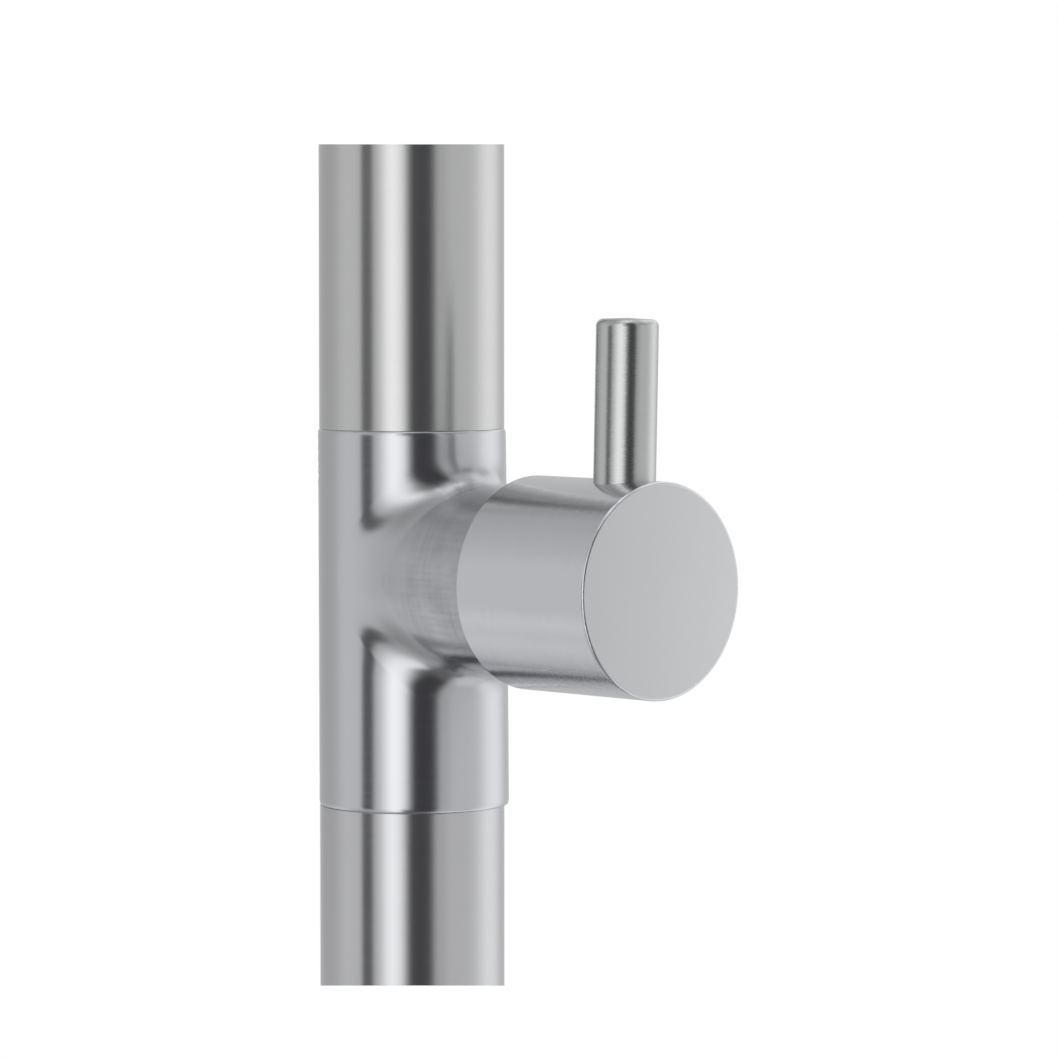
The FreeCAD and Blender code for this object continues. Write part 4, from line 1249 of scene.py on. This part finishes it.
fitting_steel = brushed_steel("satin_fitting", (0.62, 0.625, 0.635), 0.26, 0.6, line=1800.0)
round_fitting_steel = turned_steel("satin_round", (0.62, 0.625, 0.635), 0.28, 1400.0, 0.5e-6)
screw_steel = turned_steel("bright_screw", (0.50, 0.505, 0.51), 0.24, 2200.0, 0.8e-6)
polished_steel = turned_steel("buffed_fitting", (0.66, 0.665, 0.675), 0.14, 1800.0, 0.25e-6)
print("four finishes for small steel parts made")

# %% [markdown]
# The head is a large spun disc, and its marks are rings round its middle. So they are noise in the
# distance from that middle line, and the spray plate, which is faced on a lathe, takes the same.

# %% Steel spun round a middle line
def ringed_steel(name, node, tone, roughness, rings):
    """Steel spun or faced round a node's upright middle line, with its marks as fine rings."""
    low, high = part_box(node)
    middle = (low + high) / 2
    material, graph = finish_graph(name)
    reach = distance_from_line(graph, (middle.x, middle.y, 0.0), (1.0, 1.0, 0.0))
    height = part(graph, object_place(graph), "Z")
    lines = noise(graph, graph.node("ShaderNodeCombineXYZ", None, {0: reach * rings, 1: height * rings}))
    cloud = specks(graph, 18.0)
    light = 0.7 + lines.swing(0.6) + cloud.swing(0.3)
    rough = roughness + lines.swing(0.10) + cloud.swing(0.06)
    shade(graph, scaled(tone, 0.84), tone, light, rough, lines, 0.8e-6, brushed_look)
    return material


head_steel = ringed_steel("spun_head", "head_shell", (0.66, 0.665, 0.675), 0.24, 1500.0)
spray_steel = ringed_steel("faced_spray_plate", "spray_plate", (0.64, 0.645, 0.65), 0.28, 1100.0)
print("two ringed finishes made")

# %% [markdown]
# What is inside or between the steel parts is of other stuff: brass turned with a coarse tool, black
# rubber rings with a dusty bloom, lapped ceramic discs, moulded plastic with a fine spark-eroded
# grain, and the head's soft grey silicone nozzles. They hardly show, but each has its own surface.

# %% Brass, rubber, ceramic and plastic
def soft_finish(name, low, high, roughness, grain, cloud_scale, depth, metallic=0.0):
    """A plain stuff with a fine grain in its relief and slow clouds in its tone."""
    material, graph = finish_graph(name)
    fine = specks(graph, grain, 2.0)
    cloud = specks(graph, cloud_scale)
    light = 0.5 + cloud.swing(1.6) + fine.swing(0.4)
    rough = roughness + fine.swing(0.12) + cloud.swing(0.1)
    shade(graph, low, high, light, rough, fine, depth, {"Metallic": metallic})
    return material


brass = soft_finish("turned_brass", (0.56, 0.40, 0.17), (0.74, 0.56, 0.28), 0.30, 1600.0, 90.0, 1.0e-6,
                    metallic=1.0)
rubber = soft_finish("seal_rubber", (0.014, 0.014, 0.015), (0.032, 0.031, 0.030), 0.55, 1800.0, 120.0,
                     4.0e-6)
ceramic = soft_finish("lapped_ceramic", (0.80, 0.79, 0.75), (0.88, 0.87, 0.84), 0.16, 3000.0, 80.0,
                      0.1e-6)
plastic = soft_finish("moulded_plastic", (0.76, 0.76, 0.74), (0.84, 0.84, 0.83), 0.42, 2400.0, 60.0,
                      2.5e-6)
silicone = soft_finish("nozzle_silicone", (0.12, 0.125, 0.13), (0.19, 0.195, 0.20), 0.48, 2000.0, 150.0,
                       3.0e-6)
print("five finishes for the other stuffs made")

# %% [markdown]
# Every CAD piece that keeps its own mesh now takes the finish of its stuff. The record lists which
# pieces are of which, under its material slots, so the table here has one row per finish.

# %% Finishes of the CAD pieces
finishes = {
    fitting_steel: ("base_spigot", "base_collar", "top_cap"),
    round_fitting_steel: ("inlet_boss", "arm_socket"),
    plate_steel: ("base_plate",),
    screw_steel: ("base_grub_screws", "tee_grub_screws", "top_cap_screw", "arm_grub_screw",
                  "knob_grub_screw", "drain_screw", "spindle_clip", "plate_screws"),
    head_steel: ("head_shell", "collar_nut"),
    spray_steel: ("spray_plate",),
    polished_steel: ("ball_stud", "inlet_nipple"),
    brass: ("cartridge_body", "spindle", "knob_insert"),
    rubber: ("base_spigot_seals", "drain_washer", "inlet_washer", "tee_spigot_seals",
             "cartridge_seat_seal", "spindle_seals", "top_cap_seal", "arm_seal", "stud_washer",
             "ball_seal"),
    ceramic: ("fixed_ceramic_disc", "turning_ceramic_disc"),
    plastic: ("ball_socket", "inlet_strainer", "head_screen"),
    silicone: ("spray_nozzles",),
}
for finish, names in finishes.items():
    for name in names:
        mesh = nodes[name].data
        mesh.materials.clear()
        mesh.materials.append(finish)
print("finished", sum(len(names) for names in finishes.values()), "CAD pieces")
